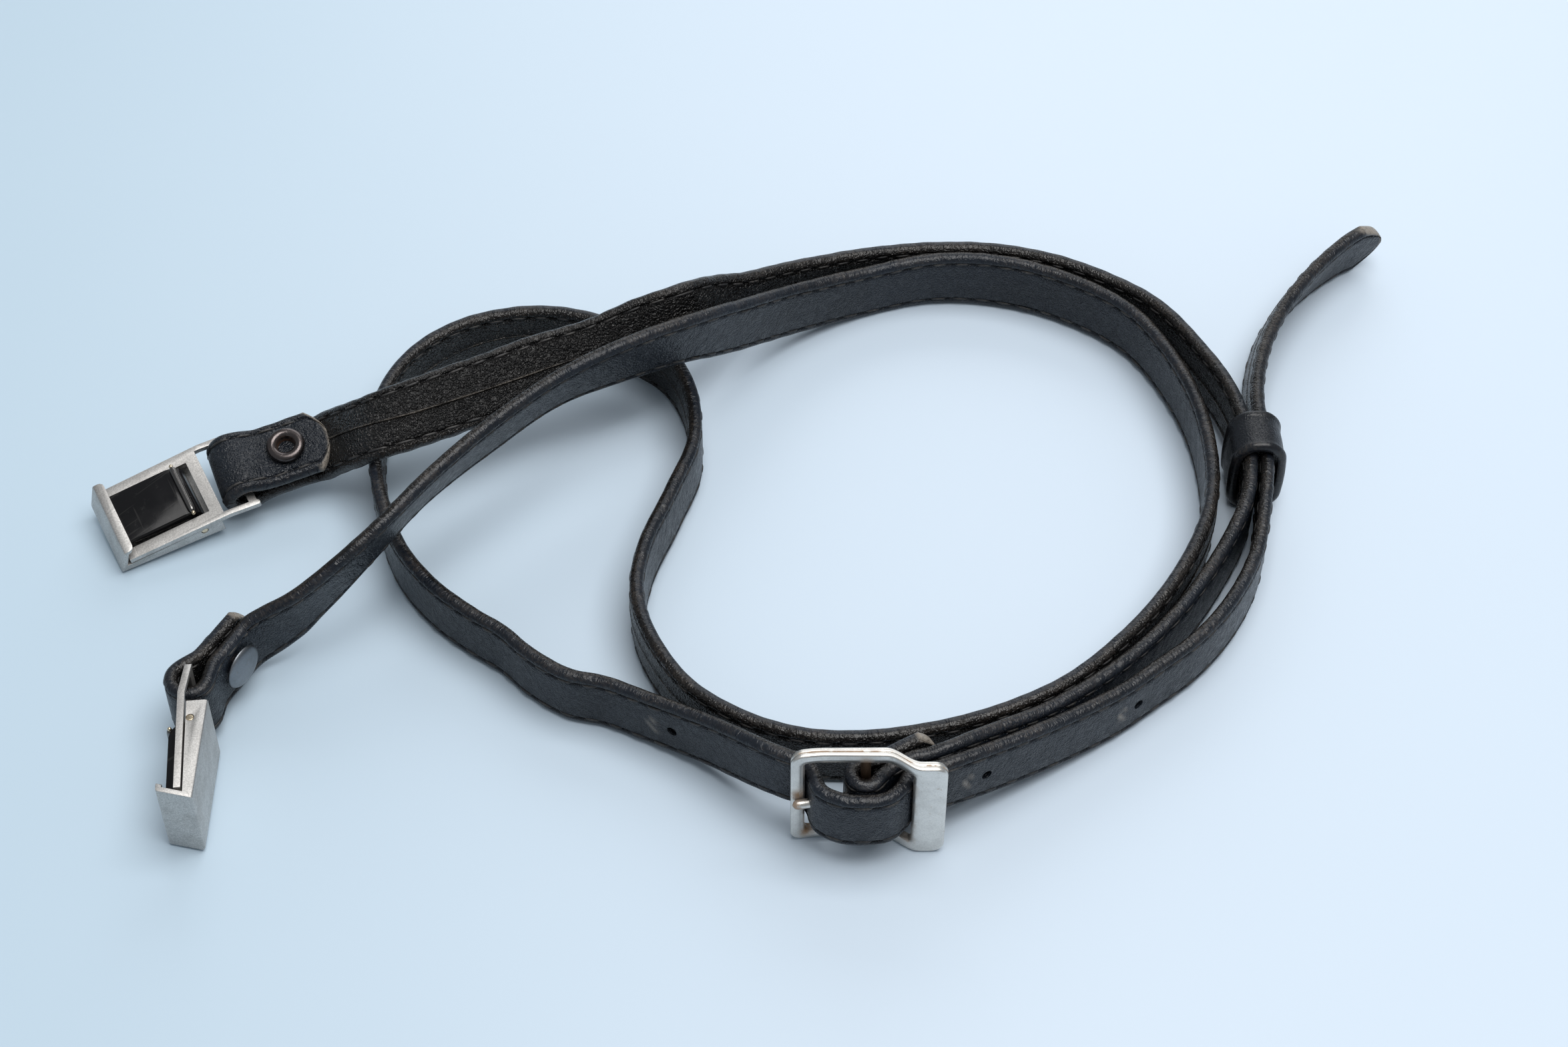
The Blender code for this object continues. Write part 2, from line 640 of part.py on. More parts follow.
def cover_solid():
    """The cover: tapering channel with an end wall and the lip folded over the gate's free end."""
    under = -(PLATE_THICK / 2 + GAP)
    half = COVER_HALF
    xs = (0.0, SHEET_THICK, LIP_REACH, COVER_END * 0.5, COVER_END - 0.0016, COVER_END)
    ys = (-half, -half + SHEET_THICK, half - SHEET_THICK, half)
    zs = (-2.0, -1.0, under, LIP_LEVEL, LIP_LEVEL + SHEET_THICK)

    def filled(x, y, z):
        if x < SHEET_THICK:
            return True
        if x < LIP_REACH and z > LIP_LEVEL:
            return True
        if z < -1:
            return True
        return z < under and abs(y) > half - SHEET_THICK

    bm = cells(xs, ys, zs, filled)
    for v in bm.verts:
        if v.co.z < -0.5:
            deep = CLIP_MOUTH + (CLIP_HEEL - CLIP_MOUTH) * v.co.x / COVER_END
            v.co.z = under - deep - (SHEET_THICK if v.co.z < -1.5 else 0)
        if v.co.x < LIP_REACH + NEAR:
            v.co.x += NOSE_RUN * (v.co.z - NOSE_LEVEL)

    def lip_corner(c, d):
        behind_nose = c.x > 0.001 + NOSE_RUN * (c.z - NOSE_LEVEL)
        return abs(d.z) > 0.9 and c.z > LIP_LEVEL and behind_nose and abs(c.y) > half - NEAR

    def lower_edge(c, d):
        low = c.z < under - CLIP_MOUTH - SHEET_THICK * 0.7
        return abs(d.x) > 0.9 and low and abs(c.y) > half - NEAR

    def nose_edge(c, d):
        return abs(d.y) > 0.9 and c.x < NOSE_RUN * (c.z - NOSE_LEVEL) + NEAR

    soften(bm, lip_corner, 0.0011, 3)
    soften(bm, lower_edge, 0.0005, 2)
    soften(bm, nose_edge, 0.0006, 2)
    return bm


def gate_solid():
    """The gate: a tray of thin sheet whose rear end curls down round the pin."""
    top = GATE_PROUD
    low = GATE_PROUD - GATE_SHEET
    reach = PIN_AT
    free = SHEET_THICK + GAP + NOSE_RUN * (top - NOSE_LEVEL)
    eye = GATE_PIN_RADIUS + PIN_PLAY + GATE_SHEET
    outline = [
        (free, low),
        (free, top),
        (reach - 0.0018, top),
        (reach - 0.0006, top - 0.0003),
        (reach + 0.0006, top - 0.0013),
        (reach + 0.00118, top - 0.0026),
    ]
    for degrees in (20, -15, -50, -90, -130, -170, -200, -225):
        a = math.radians(degrees)
        outline.append((reach + eye * math.cos(a), PIN_LEVEL + eye * math.sin(a)))
    outline += [
        (reach + 0.00035, top - 0.0026),
        (reach - 0.0001, top - 0.0017),
        (reach - 0.0009, low - 0.0002),
        (reach - 0.0019, low),
    ]
    skirt = [
        (free, low - 0.0005),
        (free, low + 0.0002),
        (reach - 0.0016, low + 0.0002),
        (reach - 0.0004, low - 0.0006),
        (reach - 0.0004, -0.0004),
        (reach - 0.0020, low - 0.0016),
    ]
    body = finish(prism(outline[::-1], -GATE_WIDTH / 2, GATE_WIDTH / 2))
    sides = []
    for side in (-1, 1):
        y0 = side * GATE_WIDTH / 2
        y1 = side * (GATE_WIDTH / 2 - GATE_SHEET)
        sides.append(finish(prism(skirt[::-1], min(y0, y1), max(y0, y1))))
    body = cut(body, sides, "UNION")
    ends = (PIN_AT, -GATE_WIDTH, PIN_LEVEL), (PIN_AT, GATE_WIDTH, PIN_LEVEL)
    hole = finish(rod(*ends, GATE_PIN_RADIUS + PIN_PLAY, 20))
    bm = bmesh.new()
    bm.from_mesh(cut(body, [hole]))
    return bm


def pin_solid():
    """The hinge pin with a small bead at each side of the gate."""
    reach = COVER_HALF - 0.00005
    bead = GATE_WIDTH / 2 + 0.00045
    r = GATE_PIN_RADIUS
    half = [
        (0, reach),
        (r * 0.8, reach),
        (r, reach - 0.0001),
        (r, bead + 0.0004),
        (r * 1.35, bead + 0.0002),
        (r * 1.35, bead - 0.0001),
        (r, bead - 0.00025),
    ]
    profile = half + [(q, -z) for q, z in reversed(half)]
    bm = turned(profile, 20)
    spin = Matrix.Rotation(math.pi / 2, 4, "X")
    bmesh.ops.transform(bm, matrix=Matrix.Translation((PIN_AT, 0, PIN_LEVEL)) @ spin, verts=bm.verts)
    return bm


def rivet_solid():
    """Domed cap in front, round shank, and a rolled hollow flange on the back, about the third axis."""
    h = (LAYER + STRAP_THICK) / 2 + 1.8 * GAP
    # shares of the cap's radius and rise, then of the flange's
    cap = ((0, 1), (0.45, 0.88), (0.8, 0.55), (0.97, 0.22), (1, 0.08), (0.96, 0))
    flange = ((0.94, 0), (1, 0.25), (0.9, 0.6), (0.72, 0.85), (0.55, 1))
    profile = [(CAP_RADIUS * a, -h - CAP_RISE * b) for a, b in cap]
    profile += [(SHANK_RADIUS, -h), (SHANK_RADIUS, h)]
    profile += [(FLANGE_RADIUS * a, h + FLANGE_RISE * b) for a, b in flange]
    profile += [
        (BORE_RADIUS * 1.12, h + FLANGE_RISE * 0.9),
        (BORE_RADIUS, h + FLANGE_RISE * 0.5),
        (BORE_RADIUS, -h + 0.0008),
        (0, -h + 0.0008),
    ]
    return turned(profile, 24)


# The clips in the laid-out frame
axes_1 = clip_axes(way_1, face_1, CLIP_1_SKEW, CLIP_1_SWING)
axes_2 = clip_axes(heading_2, flap_side_2, 0.0, CLIP_2_SWING)


def clip_origin(bar, axes):
    """The place of the clip's own origin when its end bar is at the given place."""
    return np.array(bar) - (axes[0] * BAR_AT + axes[2] * BAR_LEVEL)


def lowest(axes):
    """How far the clip's lowest corner lies under its bar."""
    deep = -(PLATE_THICK / 2 + GAP + CLIP_MOUTH + SHEET_THICK)
    heel = -(PLATE_THICK / 2 + GAP + CLIP_HEEL + SHEET_THICK)
    low = 0.0
    corners = ((0.0, deep), (COVER_END, heel), (0.0, LIP_LEVEL), (CLIP_LENGTH, BAR_LEVEL - PLATE_THICK / 2))
    for x, z in corners:
        for y in (-COVER_HALF, COVER_HALF):
            p = axes[0] * (x - BAR_AT) + axes[1] * y + axes[2] * (z - BAR_LEVEL)
            low = min(low, p[2])
    return -low


clip_1_bar = np.array([CLIP_1_AT[0] * LAID_LENGTH, CLIP_1_AT[1] * LAID_DEPTH, lowest(axes_1)])
start_1 = fold_rows(clip_1_bar, way_1, wide_1, face_1, LOOP_RADIUS)
free_1 = [[*start_1[-1][:3], CLIP_1_LEAN]]
free_1 += plan_rows(SHORT_ROWS) + beside_rows(SHORT_BESIDE, guide)
free_1.append([*in_buckle(short_inside)[0][:3], 0])
inside_1 = np.array(in_buckle(short_inside + short_turn + short_flap))
short_path = smooth(np.vstack([np.array(start_1), with_width(free_1)[1:-1], inside_1]))

scene = bpy.context.scene
group = bpy.data.collections.new("camera_neck_strap")
cutters = bpy.data.collections.new("cutters")
scene.collection.children.link(group)
scene.collection.children.link(cutters)
cutters.hide_render = True

LEATHER = material("black_leather", (0.030, 0.030, 0.034), 0.48, 0.0)
NICKEL = material("satin_nickel", (0.66, 0.65, 0.63), 0.30, 1.0)
BUCKLE_NICKEL = material("buckle_nickel", (0.70, 0.69, 0.67), 0.28, 1.0)
GATE_STEEL = material("blackened_steel", (0.020, 0.020, 0.021), 0.22, 0.55)
PIN_STEEL = material("pin_steel", (0.70, 0.62, 0.48), 0.22, 1.0)
RIVET_STEEL = material("rivet_steel", (0.22, 0.21, 0.20), 0.30, 1.0)

solids = []

# Prong and the holes it needs
mid = IN_BUCKLE + STRAP_WIDTH / 2
on_narrow_bar = buckle_forward(-BUCKLE_LEFT + 0.001) - BUCKLE_DEPTH / 2 - 0.00025 - PRONG_RADIUS
prong_tip = np.array([-BUCKLE_LEFT + 0.0003, on_narrow_bar, mid])
prong_root = np.array([-CENTRE_BAR_RADIUS * 0.6, -0.0004, mid])
eye_outer = CENTRE_BAR_RADIUS + PIN_PLAY + PRONG_EYE_WALL


def upright(half, radius):
    """An upright rod on the centre bar, the half height above and below the prong."""
    return rod((0, 0, mid - half), (0, 0, mid + half), radius, 20)


prong_body = finish(rod(prong_tip, prong_root, PRONG_RADIUS, 12))
prong_mesh = cut(prong_body, [finish(upright(PRONG_EYE_HALF, eye_outer))], "UNION")
prong_mesh = cut(prong_mesh, [finish(upright(mid, CENTRE_BAR_RADIUS + PIN_PLAY))])
buckle_axes = (np.array([1.0, 0, 0]), np.array([0, 1.0, 0]), UP)


def seated(mesh, axes, origin):
    """A finished mesh moved from its own axes to the laid-out frame."""
    bm = bmesh.new()
    bm.from_mesh(mesh)
    return finish(placed(bm, axes, origin))


def hole_in_band(place, normal, radius, reach, segments=16):
    """A round cutter through the band."""
    return finish(rod(place - normal * reach, place + normal * reach, radius, segments))


beyond_tip = prong_tip + unit(prong_tip - prong_root) * 0.004
passage = rod(beyond_tip, prong_root, PRONG_RADIUS + GAP, 12)
passage = finish(placed(passage, buckle_axes, buckle_origin))
eye_room = upright(PRONG_EYE_HALF + GAP, eye_outer + GAP)
eye_room = finish(placed(eye_room, buckle_axes, buckle_origin))

# Long strap with its punched eyes
long_body, long_share = rounded_end(long_path, FLAP_BULGE, True)
long_body, tail_share = rounded_end(long_body, TAIL_BULGE, False)
long_share = long_share + tail_share[len(long_share):]
long_mesh = band(long_body, long_share)
place, _, _, face = frames(long_path)
run = length_along(place)
prong_eye_at = buckle_origin[:2] + np.array([-0.0082, 0.0012])
near = int(np.argmin(np.linalg.norm(place[:, :2] - prong_eye_at, axis=1)))
tools = [passage]
for n in (-1, 1, 2):
    at = run[near] + n * EYE_PITCH
    spot = np.array([np.interp(at, run, place[:, k]) for k in range(3)])
    normal = unit(np.array([np.interp(at, run, face[:, k]) for k in range(3)]))
    tools.append(hole_in_band(spot, normal, EYE_RADIUS, STRAP_THICK))
rivet_2_at = clip_2_bar + heading_2 * RIVET_REACH
tools.append(hole_in_band(rivet_2_at, flap_side_2, SHANK_RADIUS + GAP, RIVET_HOLE_REACH, 20))
solids.append(("strap_long", cut(long_mesh, tools), LEATHER))

short_body, short_share = rounded_end(short_path, FLAP_BULGE, True)
short_body, short_tail = rounded_end(short_body, FLAP_BULGE, False)
short_share = short_share + short_tail[len(short_share):]
rivet_1_at = clip_1_bar + way_1 * RIVET_REACH
rivet_hole = hole_in_band(rivet_1_at, face_1, SHANK_RADIUS + GAP, RIVET_HOLE_REACH, 20)
short_mesh = cut(band(short_body, short_share), [rivet_hole, passage, eye_room])
solids.append(("strap_short", short_mesh, LEATHER))

# Rivets: the cap in front of the strap, the hollow flange on the flap
rivets = (
    # name, place, along the strap, out of its back
    ("rivet_clip_1", rivet_1_at, way_1, face_1),
    ("rivet_clip_2", rivet_2_at, heading_2, flap_side_2),
)
for name, at, along, back in rivets:
    axes = (along, np.cross(back, along), back)
    solids.append((name, finish(placed(rivet_solid(), axes, at)), RIVET_STEEL))

# Clips
clips = ((1, axes_1, clip_1_bar), (2, axes_2, clip_2_bar))
for n, axes, bar in clips:
    origin = clip_origin(bar, axes)
    ends = (PIN_AT, -PIN_HOLE_REACH, PIN_LEVEL), (PIN_AT, PIN_HOLE_REACH, PIN_LEVEL)
    pin_hole = finish(rod(*ends, GATE_PIN_RADIUS + PIN_PLAY * 0.5, 20))
    cover = cut(finish(cover_solid()), [pin_hole])
    solids.append((f"clip_{n}_plate", finish(placed(plate_solid(), axes, origin)), NICKEL))
    solids.append((f"clip_{n}_cover", seated(cover, axes, origin), NICKEL))
    solids.append((f"clip_{n}_gate", finish(placed(gate_solid(), axes, origin)), GATE_STEEL))
    solids.append((f"clip_{n}_pin", finish(placed(pin_solid(), axes, origin)), PIN_STEEL))

# Keeper ring
lo = int(KEEPER_ROW * SAMPLES)
keeper_way = np.append(unit(guide[lo + WAY_SPAN, :2] - guide[lo - WAY_SPAN, :2]), 0)
keeper_out = np.cross(UP, keeper_way)
keeper_mid = guide[lo, :3] + keeper_out * (1.5 * LAYER + KEEPER_ASIDE * STRAP_WIDTH)
keeper_mid[2] = STRAP_WIDTH / 2 + IN_KEEPER
inner = (LAYER / 2 + STRAP_THICK / 2 + KEEPER_CLEAR, STRAP_WIDTH / 2 + KEEPER_CLEAR)


def ring_outline(grow, round_off, steps=4):
    """A rounded rectangle that stands out from the keeper's inner wall."""
    a, c = inner[0] + grow, inner[1] + grow
    pts = []
    for k, (sx, sz) in enumerate(((1, 1), (-1, 1), (-1, -1), (1, -1))):
        for s in range(steps + 1):
            t = math.pi / 2 * (k + s / steps)
            u = sx * (a - round_off) + round_off * math.cos(t)
            pts.append((u, sz * (c - round_off) + round_off * math.sin(t)))
    return pts


bm = bmesh.new()
loops = []
for grow, round_off in ((0.0, KEEPER_INNER_ROUND), (KEEPER_WALL, KEEPER_OUTER_ROUND)):
    for y in (-KEEPER_LENGTH / 2, KEEPER_LENGTH / 2):
        loops.append([bm.verts.new((u, y, w)) for u, w in ring_outline(grow, round_off)])
count = len(loops[0])
for one, two in ((0, 1), (1, 3), (3, 2), (2, 0)):
    for k in range(count):
        j = (k + 1) % count
        bm.faces.new((loops[one][k], loops[one][j], loops[two][j], loops[two][k]))
solids.append(("keeper", finish(placed(bm, (keeper_out, -keeper_way, UP), keeper_mid)), LEATHER))

# Buckle frame: the window's ends, and between them the rows where the frame bows forward
window_ends = (-BUCKLE_LEFT + NARROW_BAR, BUCKLE_RIGHT - BROAD_BAR)
bow_rows = (-0.0055, 0.0, 0.0035, 0.0050, 0.0063)
xs = (-BUCKLE_LEFT, window_ends[0], *bow_rows, window_ends[1], 0.0086, 0.0105, BUCKLE_RIGHT)
zs = (0.0, BUCKLE_SIDE, BUCKLE_HEIGHT - BUCKLE_SIDE, BUCKLE_HEIGHT)
ys = (-BUCKLE_DEPTH / 2, BUCKLE_DEPTH / 2)


def frame_filled(x, y, z):
    """Everywhere but in the window."""
    return not (window_ends[0] < x < window_ends[1] and BUCKLE_SIDE < z < BUCKLE_HEIGHT - BUCKLE_SIDE)


def frame_corner(c, d):
    """An upright corner edge at the frame's four outer corners."""
    at_end = c.x < xs[0] + NEAR or c.x > xs[-1] - NEAR
    return abs(d.y) > 0.9 and at_end and (c.z < NEAR or c.z > BUCKLE_HEIGHT - NEAR)


def face_edge(c, d):
    """An edge round the front or the back face."""
    return abs(d.y) < 0.5 and abs(abs(c.y) - BUCKLE_DEPTH / 2) < NEAR / 10


bm = cells(xs, ys, zs, frame_filled)
soften(bm, frame_corner, 0.0018, 3)
soften(bm, face_edge, 0.00040, 2)
for v in bm.verts:
    v.co.y += buckle_forward(v.co.x)
bar_reach = BUCKLE_SIDE * 0.4
centre_bar = rod((0, 0, bar_reach), (0, 0, BUCKLE_HEIGHT - bar_reach), CENTRE_BAR_RADIUS, 16)
frame_mesh = cut(finish(bm), [finish(centre_bar)], "UNION")
solids.append(("buckle_frame", seated(frame_mesh, buckle_axes, buckle_origin), BUCKLE_NICKEL))
solids.append(("buckle_prong", seated(prong_mesh, buckle_axes, buckle_origin), BUCKLE_NICKEL))

# The frame's origin is the middle of the object's box, on the floor
every = np.vstack([np.array([v.co for v in mesh.vertices]) for _, mesh, _ in solids])
middle = (every.min(axis=0) + every.max(axis=0)) / 2
shift = Vector((-middle[0], -middle[1], -every[:, 2].min()))
for name, mesh, look in solids:
    mesh.transform(Matrix.Translation(shift))
    mesh.materials.clear()
    mesh.materials.append(look)
    mesh.shade_smooth()
    mesh.set_sharp_from_angle(angle=math.radians(SMOOTH_BELOW))
    obj = bpy.data.objects.new(name, mesh)
    group.objects.link(obj)

# Each gate turns about an empty at its pin
for n, axes, bar in clips:
    origin = clip_origin(bar, axes)
    pivot = bpy.data.objects.new(f"clip_{n}_gate_axis", None)
    pivot.location = Vector(origin + axes[0] * PIN_AT + axes[2] * PIN_LEVEL) + shift
    group.objects.link(pivot)
    gate = bpy.data.objects[f"clip_{n}_gate"]
    gate.data.transform(Matrix.Translation(-pivot.location))
    gate.parent = pivot
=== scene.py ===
"""A worn black leather camera neck strap, laid down in loops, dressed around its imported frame.

Lengths are metres. The routes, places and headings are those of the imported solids.
A strap's face is the direction that stands out to the left of its way.
"""
from __future__ import annotations

import json
import logging
import math
from dataclasses import dataclass, field
from enum import Enum

import bpy
import numpy as np
from mathutils import Matrix, Vector

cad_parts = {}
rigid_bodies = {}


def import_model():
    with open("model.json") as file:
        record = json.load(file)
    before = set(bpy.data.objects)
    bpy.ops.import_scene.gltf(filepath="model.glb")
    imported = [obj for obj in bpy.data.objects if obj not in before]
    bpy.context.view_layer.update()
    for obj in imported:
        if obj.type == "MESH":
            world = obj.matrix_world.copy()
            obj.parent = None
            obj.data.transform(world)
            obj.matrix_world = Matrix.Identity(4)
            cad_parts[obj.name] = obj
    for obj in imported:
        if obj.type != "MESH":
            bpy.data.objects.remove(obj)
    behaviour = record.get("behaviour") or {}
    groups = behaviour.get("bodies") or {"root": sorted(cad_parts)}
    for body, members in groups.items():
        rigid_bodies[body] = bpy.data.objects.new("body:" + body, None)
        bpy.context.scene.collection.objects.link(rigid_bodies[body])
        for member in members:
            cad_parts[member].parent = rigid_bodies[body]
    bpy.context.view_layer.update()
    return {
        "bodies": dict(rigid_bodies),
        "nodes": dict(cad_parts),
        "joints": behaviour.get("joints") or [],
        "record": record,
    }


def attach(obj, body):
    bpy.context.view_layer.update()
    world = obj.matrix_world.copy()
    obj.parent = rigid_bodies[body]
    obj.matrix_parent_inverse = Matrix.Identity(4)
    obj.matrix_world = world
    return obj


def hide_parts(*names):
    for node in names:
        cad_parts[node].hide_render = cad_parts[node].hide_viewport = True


log = logging.getLogger("neck_strap")
Array = np.ndarray
Masks = dict[str, Array]
Material = bpy.types.Material
Node = bpy.types.Node
NodeTree = bpy.types.NodeTree
Object = bpy.types.Object
Socket = bpy.types.NodeSocket

UP = np.array([0.0, 0.0, 1.0])
SHIFT = np.array([0.004665, 0.002653, 0.000171])

STRAP_WIDTH = 0.0120
STRAP_THICK = 0.0023
GAP = 0.0003
LAYER = STRAP_THICK + 0.0005
LAID_LENGTH = 0.230
LAID_DEPTH = 0.135
KEEPER_WALL = 0.0012
KEEPER_CLEAR = 0.00035
IN_KEEPER = KEEPER_WALL + KEEPER_CLEAR
IN_BUCKLE = 0.0050
OVER_LOOP = STRAP_WIDTH + GAP
FLAP_REACH = 0.0142
RIVET_REACH = 0.0090
LOOP_RADIUS = 0.0018 + STRAP_THICK / 2
EYE_RADIUS = 0.0009
EYE_PITCH = 0.0305
STITCH_PITCH = 0.0041
END_TO_STITCH = 0.003
GATE_TO_COVER_END = 0.0037
PRONG_THROUGH = (-0.0064, -0.0019)
KEEPER_ROW = 16.05
WAY_REACH = 6
OVER_FLOOR = 0.00002
SAMPLES = 24
SHARP = 50.0

LONG_ROWS = (
    # across, along, lift, lean
    (-0.375, -0.242, 0.0030, 0),
    (-0.340, -0.204, 0.0060, -11),
    (-0.293, -0.144, 0.98 * OVER_LOOP, -18),
    (-0.255, -0.067, 1.18 * OVER_LOOP, -21),
    (-0.209, 0.016, 1.26 * OVER_LOOP, -18),
    (-0.163, 0.089, 1.28 * OVER_LOOP, -18),
    (-0.113, 0.141, 1.26 * OVER_LOOP, -11),
    (-0.064, 0.196, 1.06 * OVER_LOOP, -8),
    (-0.039, 0.235, 0.78 * OVER_LOOP, -6),
    (0.012, 0.317, 0.24 * OVER_LOOP, -4),
    (0.065, 0.369, 0, -3),
    (0.117, 0.393, 0, -2),
    (0.170, 0.388, 0, 0),
    (0.221, 0.356, 0, 0),
    (0.270, 0.292, 0, 0),
    (0.305, 0.170, 0, 0),
    (0.316, 0.060, 0, 0),
    (0.311, -0.038, 0, 0),
    (0.282, -0.150, 0, 0),
    (0.239, -0.247, 0, 0),
    (0.186, -0.324, 0, 0),
    (0.104, -0.380, 0, 0),
    (0.012, -0.389, 0, 0),
    (-0.058, -0.330, 0, 0),
    (-0.092, -0.250, 0, 0),
    (-0.105, -0.176, 0, 0),
    (-0.101, -0.104, 0, 0),
    (-0.082, -0.010, 0, 0),
    (-0.067, 0.075, 0, 0),
    (-0.072, 0.164, 0, 0),
    (-0.094, 0.233, 0, 0),
    (-0.140, 0.278, 0, 0),
    (-0.190, 0.295, 0, 0),
    (-0.243, 0.275, 0, 0),
    (-0.282, 0.222, 0, 0),
    (-0.304, 0.135, 0, 0),
    (-0.301, 0.025, 0, 0),
    (-0.279, -0.098, 0, 0),
    (-0.252, -0.163, 0, 0),
    (-0.222, -0.208, 0, 0),
    (-0.199, -0.236, 0, 0),
    (-0.179, -0.270, 0, 0),
    (-0.151, -0.302, 0, 0),
    (-0.126, -0.313, 0, 0),
    (-0.101, -0.333, 0.05 * IN_BUCKLE, 0),
    (-0.055, -0.378, 0.35 * IN_BUCKLE, 0),
)
SHORT_ROWS = (
    # across, along, lift, lean
    (-0.302, 0.060, 0.80 * OVER_LOOP, 66),
    (-0.235, 0.108, 0.87 * OVER_LOOP, 55),
)
SHORT_BESIDE = (
    # row, layers, aside, lift, lean
    (5.10, 1, 0.560, 0.86 * OVER_LOOP, 50),
    (5.80, 1, 0.410, 0.90 * OVER_LOOP, 45),
    (6.45, 1, 0.330, 1.00 * OVER_LOOP, 34),
    (7.15, 1, 0.230, 1.03 * OVER_LOOP, 20),
    (8.40, 1, 0.270, 0.54 * OVER_LOOP, 4),
    (9.30, 1, 0.215, 0.16 * OVER_LOOP, -3),
    (10.20, 1, 0.125, 0, -3),
    (11.05, 1, 0.008, 0, -2),
    (12.00, 1, 0.008, 0, 0),
    (13.00, 1, 0.060, 0, 0),
    (14.00, 1, 0.140, 0, 0),
    (14.70, 1, 0.220, 0.20 * IN_KEEPER, 0),
    (15.30, 1, 0.275, 0.85 * IN_KEEPER, 0),
    (15.80, 1, 0.295, IN_KEEPER, 0),
    (16.30, 1, 0.290, IN_KEEPER, 0),
    (16.80, 1, 0.260, 0.60 * IN_KEEPER, 0),
    (17.40, 1, 0.150, 0, 0),
    (18.30, 1, 0.075, 0, 0),
    (19.20, 1, 0.030, 0, 0),
    (20.10, 1, 0.040, 0.14 * IN_BUCKLE, 0),
    (20.60, 1, 0.165, 0.52 * IN_BUCKLE, 0),
)
LONG_BESIDE = (
    # row, layers, aside, lift, lean
    (20.55, 2, 0.200, 0.60 * IN_BUCKLE, 0),
    (20.00, 2, 0.085, 0.20 * IN_BUCKLE, 0),
    (19.50, 2, 0.110, 0, 0),
    (19.05, 2, 0.175, 0, 0),
    (18.55, 2, 0.290, 0, 0),
    (18.00, 2, 0.355, 0, 0),
    (17.40, 2, 0.345, 0, 0),
    (16.80, 2, 0.275, 0.60 * IN_KEEPER, 0),
    (16.30, 2, 0.290, IN_KEEPER, 0),
    (15.80, 2, 0.295, IN_KEEPER, 0),
)
TAIL_ROWS = (
    # across, along, lift, lean
    (0.3553, 0.155, 0.60 * IN_KEEPER, -3),
    (0.3640, 0.236, 0.15 * IN_KEEPER, -10),
    (0.3780, 0.300, 0, -16),
    (0.3960, 0.352, 0, -18),
    (0.4160, 0.394, 0, -16),
    (0.4420, 0.436, 0, -12),
    (0.4540, 0.450, 0, -10),
)


class Back(Enum):
    """Which side of its way a strap's seamed back lies on."""

    LEFT = 1
    RIGHT = -1


def unit(v: Array) -> Array:
    """The vector, one metre long."""
    return v / np.linalg.norm(v)


def turn(v: Array, axis: Array, degrees: float) -> Array:
    """The vector turned about an axis by an angle."""
    return np.array(Matrix.Rotation(math.radians(degrees), 3, Vector(axis)) @ Vector(v))


def on_circle(radius: float, degrees: range) -> list:
    """Points of a circle at some angles."""
    return [(radius * math.cos(math.radians(a)), radius * math.sin(math.radians(a))) for a in degrees]


def closed_run(loop: Array) -> Array:
    """Arc lengths of a closed line's points, from zero once round to the start."""
    return np.concatenate([[0], np.cumsum(np.linalg.norm(np.diff(loop, axis=0, append=loop[:1]), axis=1))])


def fine_way(rows: Array) -> Array:
    """A centripetal curve through rows of place and any further columns.

    Between two rows it is the cubic with both rows' values and slopes, and a row's slope is
    that of the parabola through it and its neighbours, timed by the square root of their distance.

    Args:
        rows: one row per knot; the first three columns are the place.

    Returns:
        SAMPLES rows for each interval and one for the end.
    """
    rows = np.asarray(rows, float)
    knots = np.vstack([2 * rows[0] - rows[1], rows, 2 * rows[-1] - rows[-2]])
    chord = np.sqrt(np.linalg.norm(np.diff(knots[:, :3], axis=0), axis=1)) + 1e-9
    p0, p1, p2, p3 = (knots[k:len(knots) - 3 + k, None] for k in range(4))
    a, b, c = (chord[k:len(chord) - 2 + k, None, None] for k in range(3))
    m1 = ((p1 - p0) / a - (p2 - p0) / (a + b)) * b + (p2 - p1)
    m2 = ((p3 - p2) / c - (p3 - p1) / (b + c)) * b + (p2 - p1)
    t = np.linspace(0, 1, SAMPLES, endpoint=False)[None, :, None]
    fine = (2 * t**3 - 3 * t**2 + 1) * p1 + (t**3 - 2 * t**2 + t) * m1
    fine = fine + (3 * t**2 - 2 * t**3) * p2 + (t**3 - t**2) * m2
    return np.vstack([fine.reshape(-1, rows.shape[1]), rows[-1:]])


def plan_rows(table: tuple) -> list:
    """Rows of place and lean from a table of plan shares: the band's middle is half its width up."""
    return [[x * LAID_LENGTH, y * LAID_DEPTH, z + STRAP_WIDTH / 2, lean] for x, y, z, lean in table]


def beside_rows(table: tuple, guide: Array) -> list:
    """Rows that run beside a guide's numbered rows, whole layers and a clear distance away.

    Args:
        table: row of the guide, layers, share of the width aside, lift and lean.
        guide: the guide's fine curve.

    Returns:
        Rows of place and lean.
    """
    out = []
    last = len(guide) - 1
    for row, layers, aside, lift, lean in table:
        k = min(row * SAMPLES, last - 1)
        lo = int(k)
        place = guide[lo] + (guide[lo + 1] - guide[lo]) * (k - lo)
        way = unit(guide[min(lo + WAY_REACH, last), :2] - guide[max(lo - WAY_REACH, 0), :2])
        away = layers * LAYER + aside * STRAP_WIDTH
        out.append([place[0] - way[1] * away, place[1] + way[0] * away, lift + STRAP_WIDTH / 2, lean])
    return out


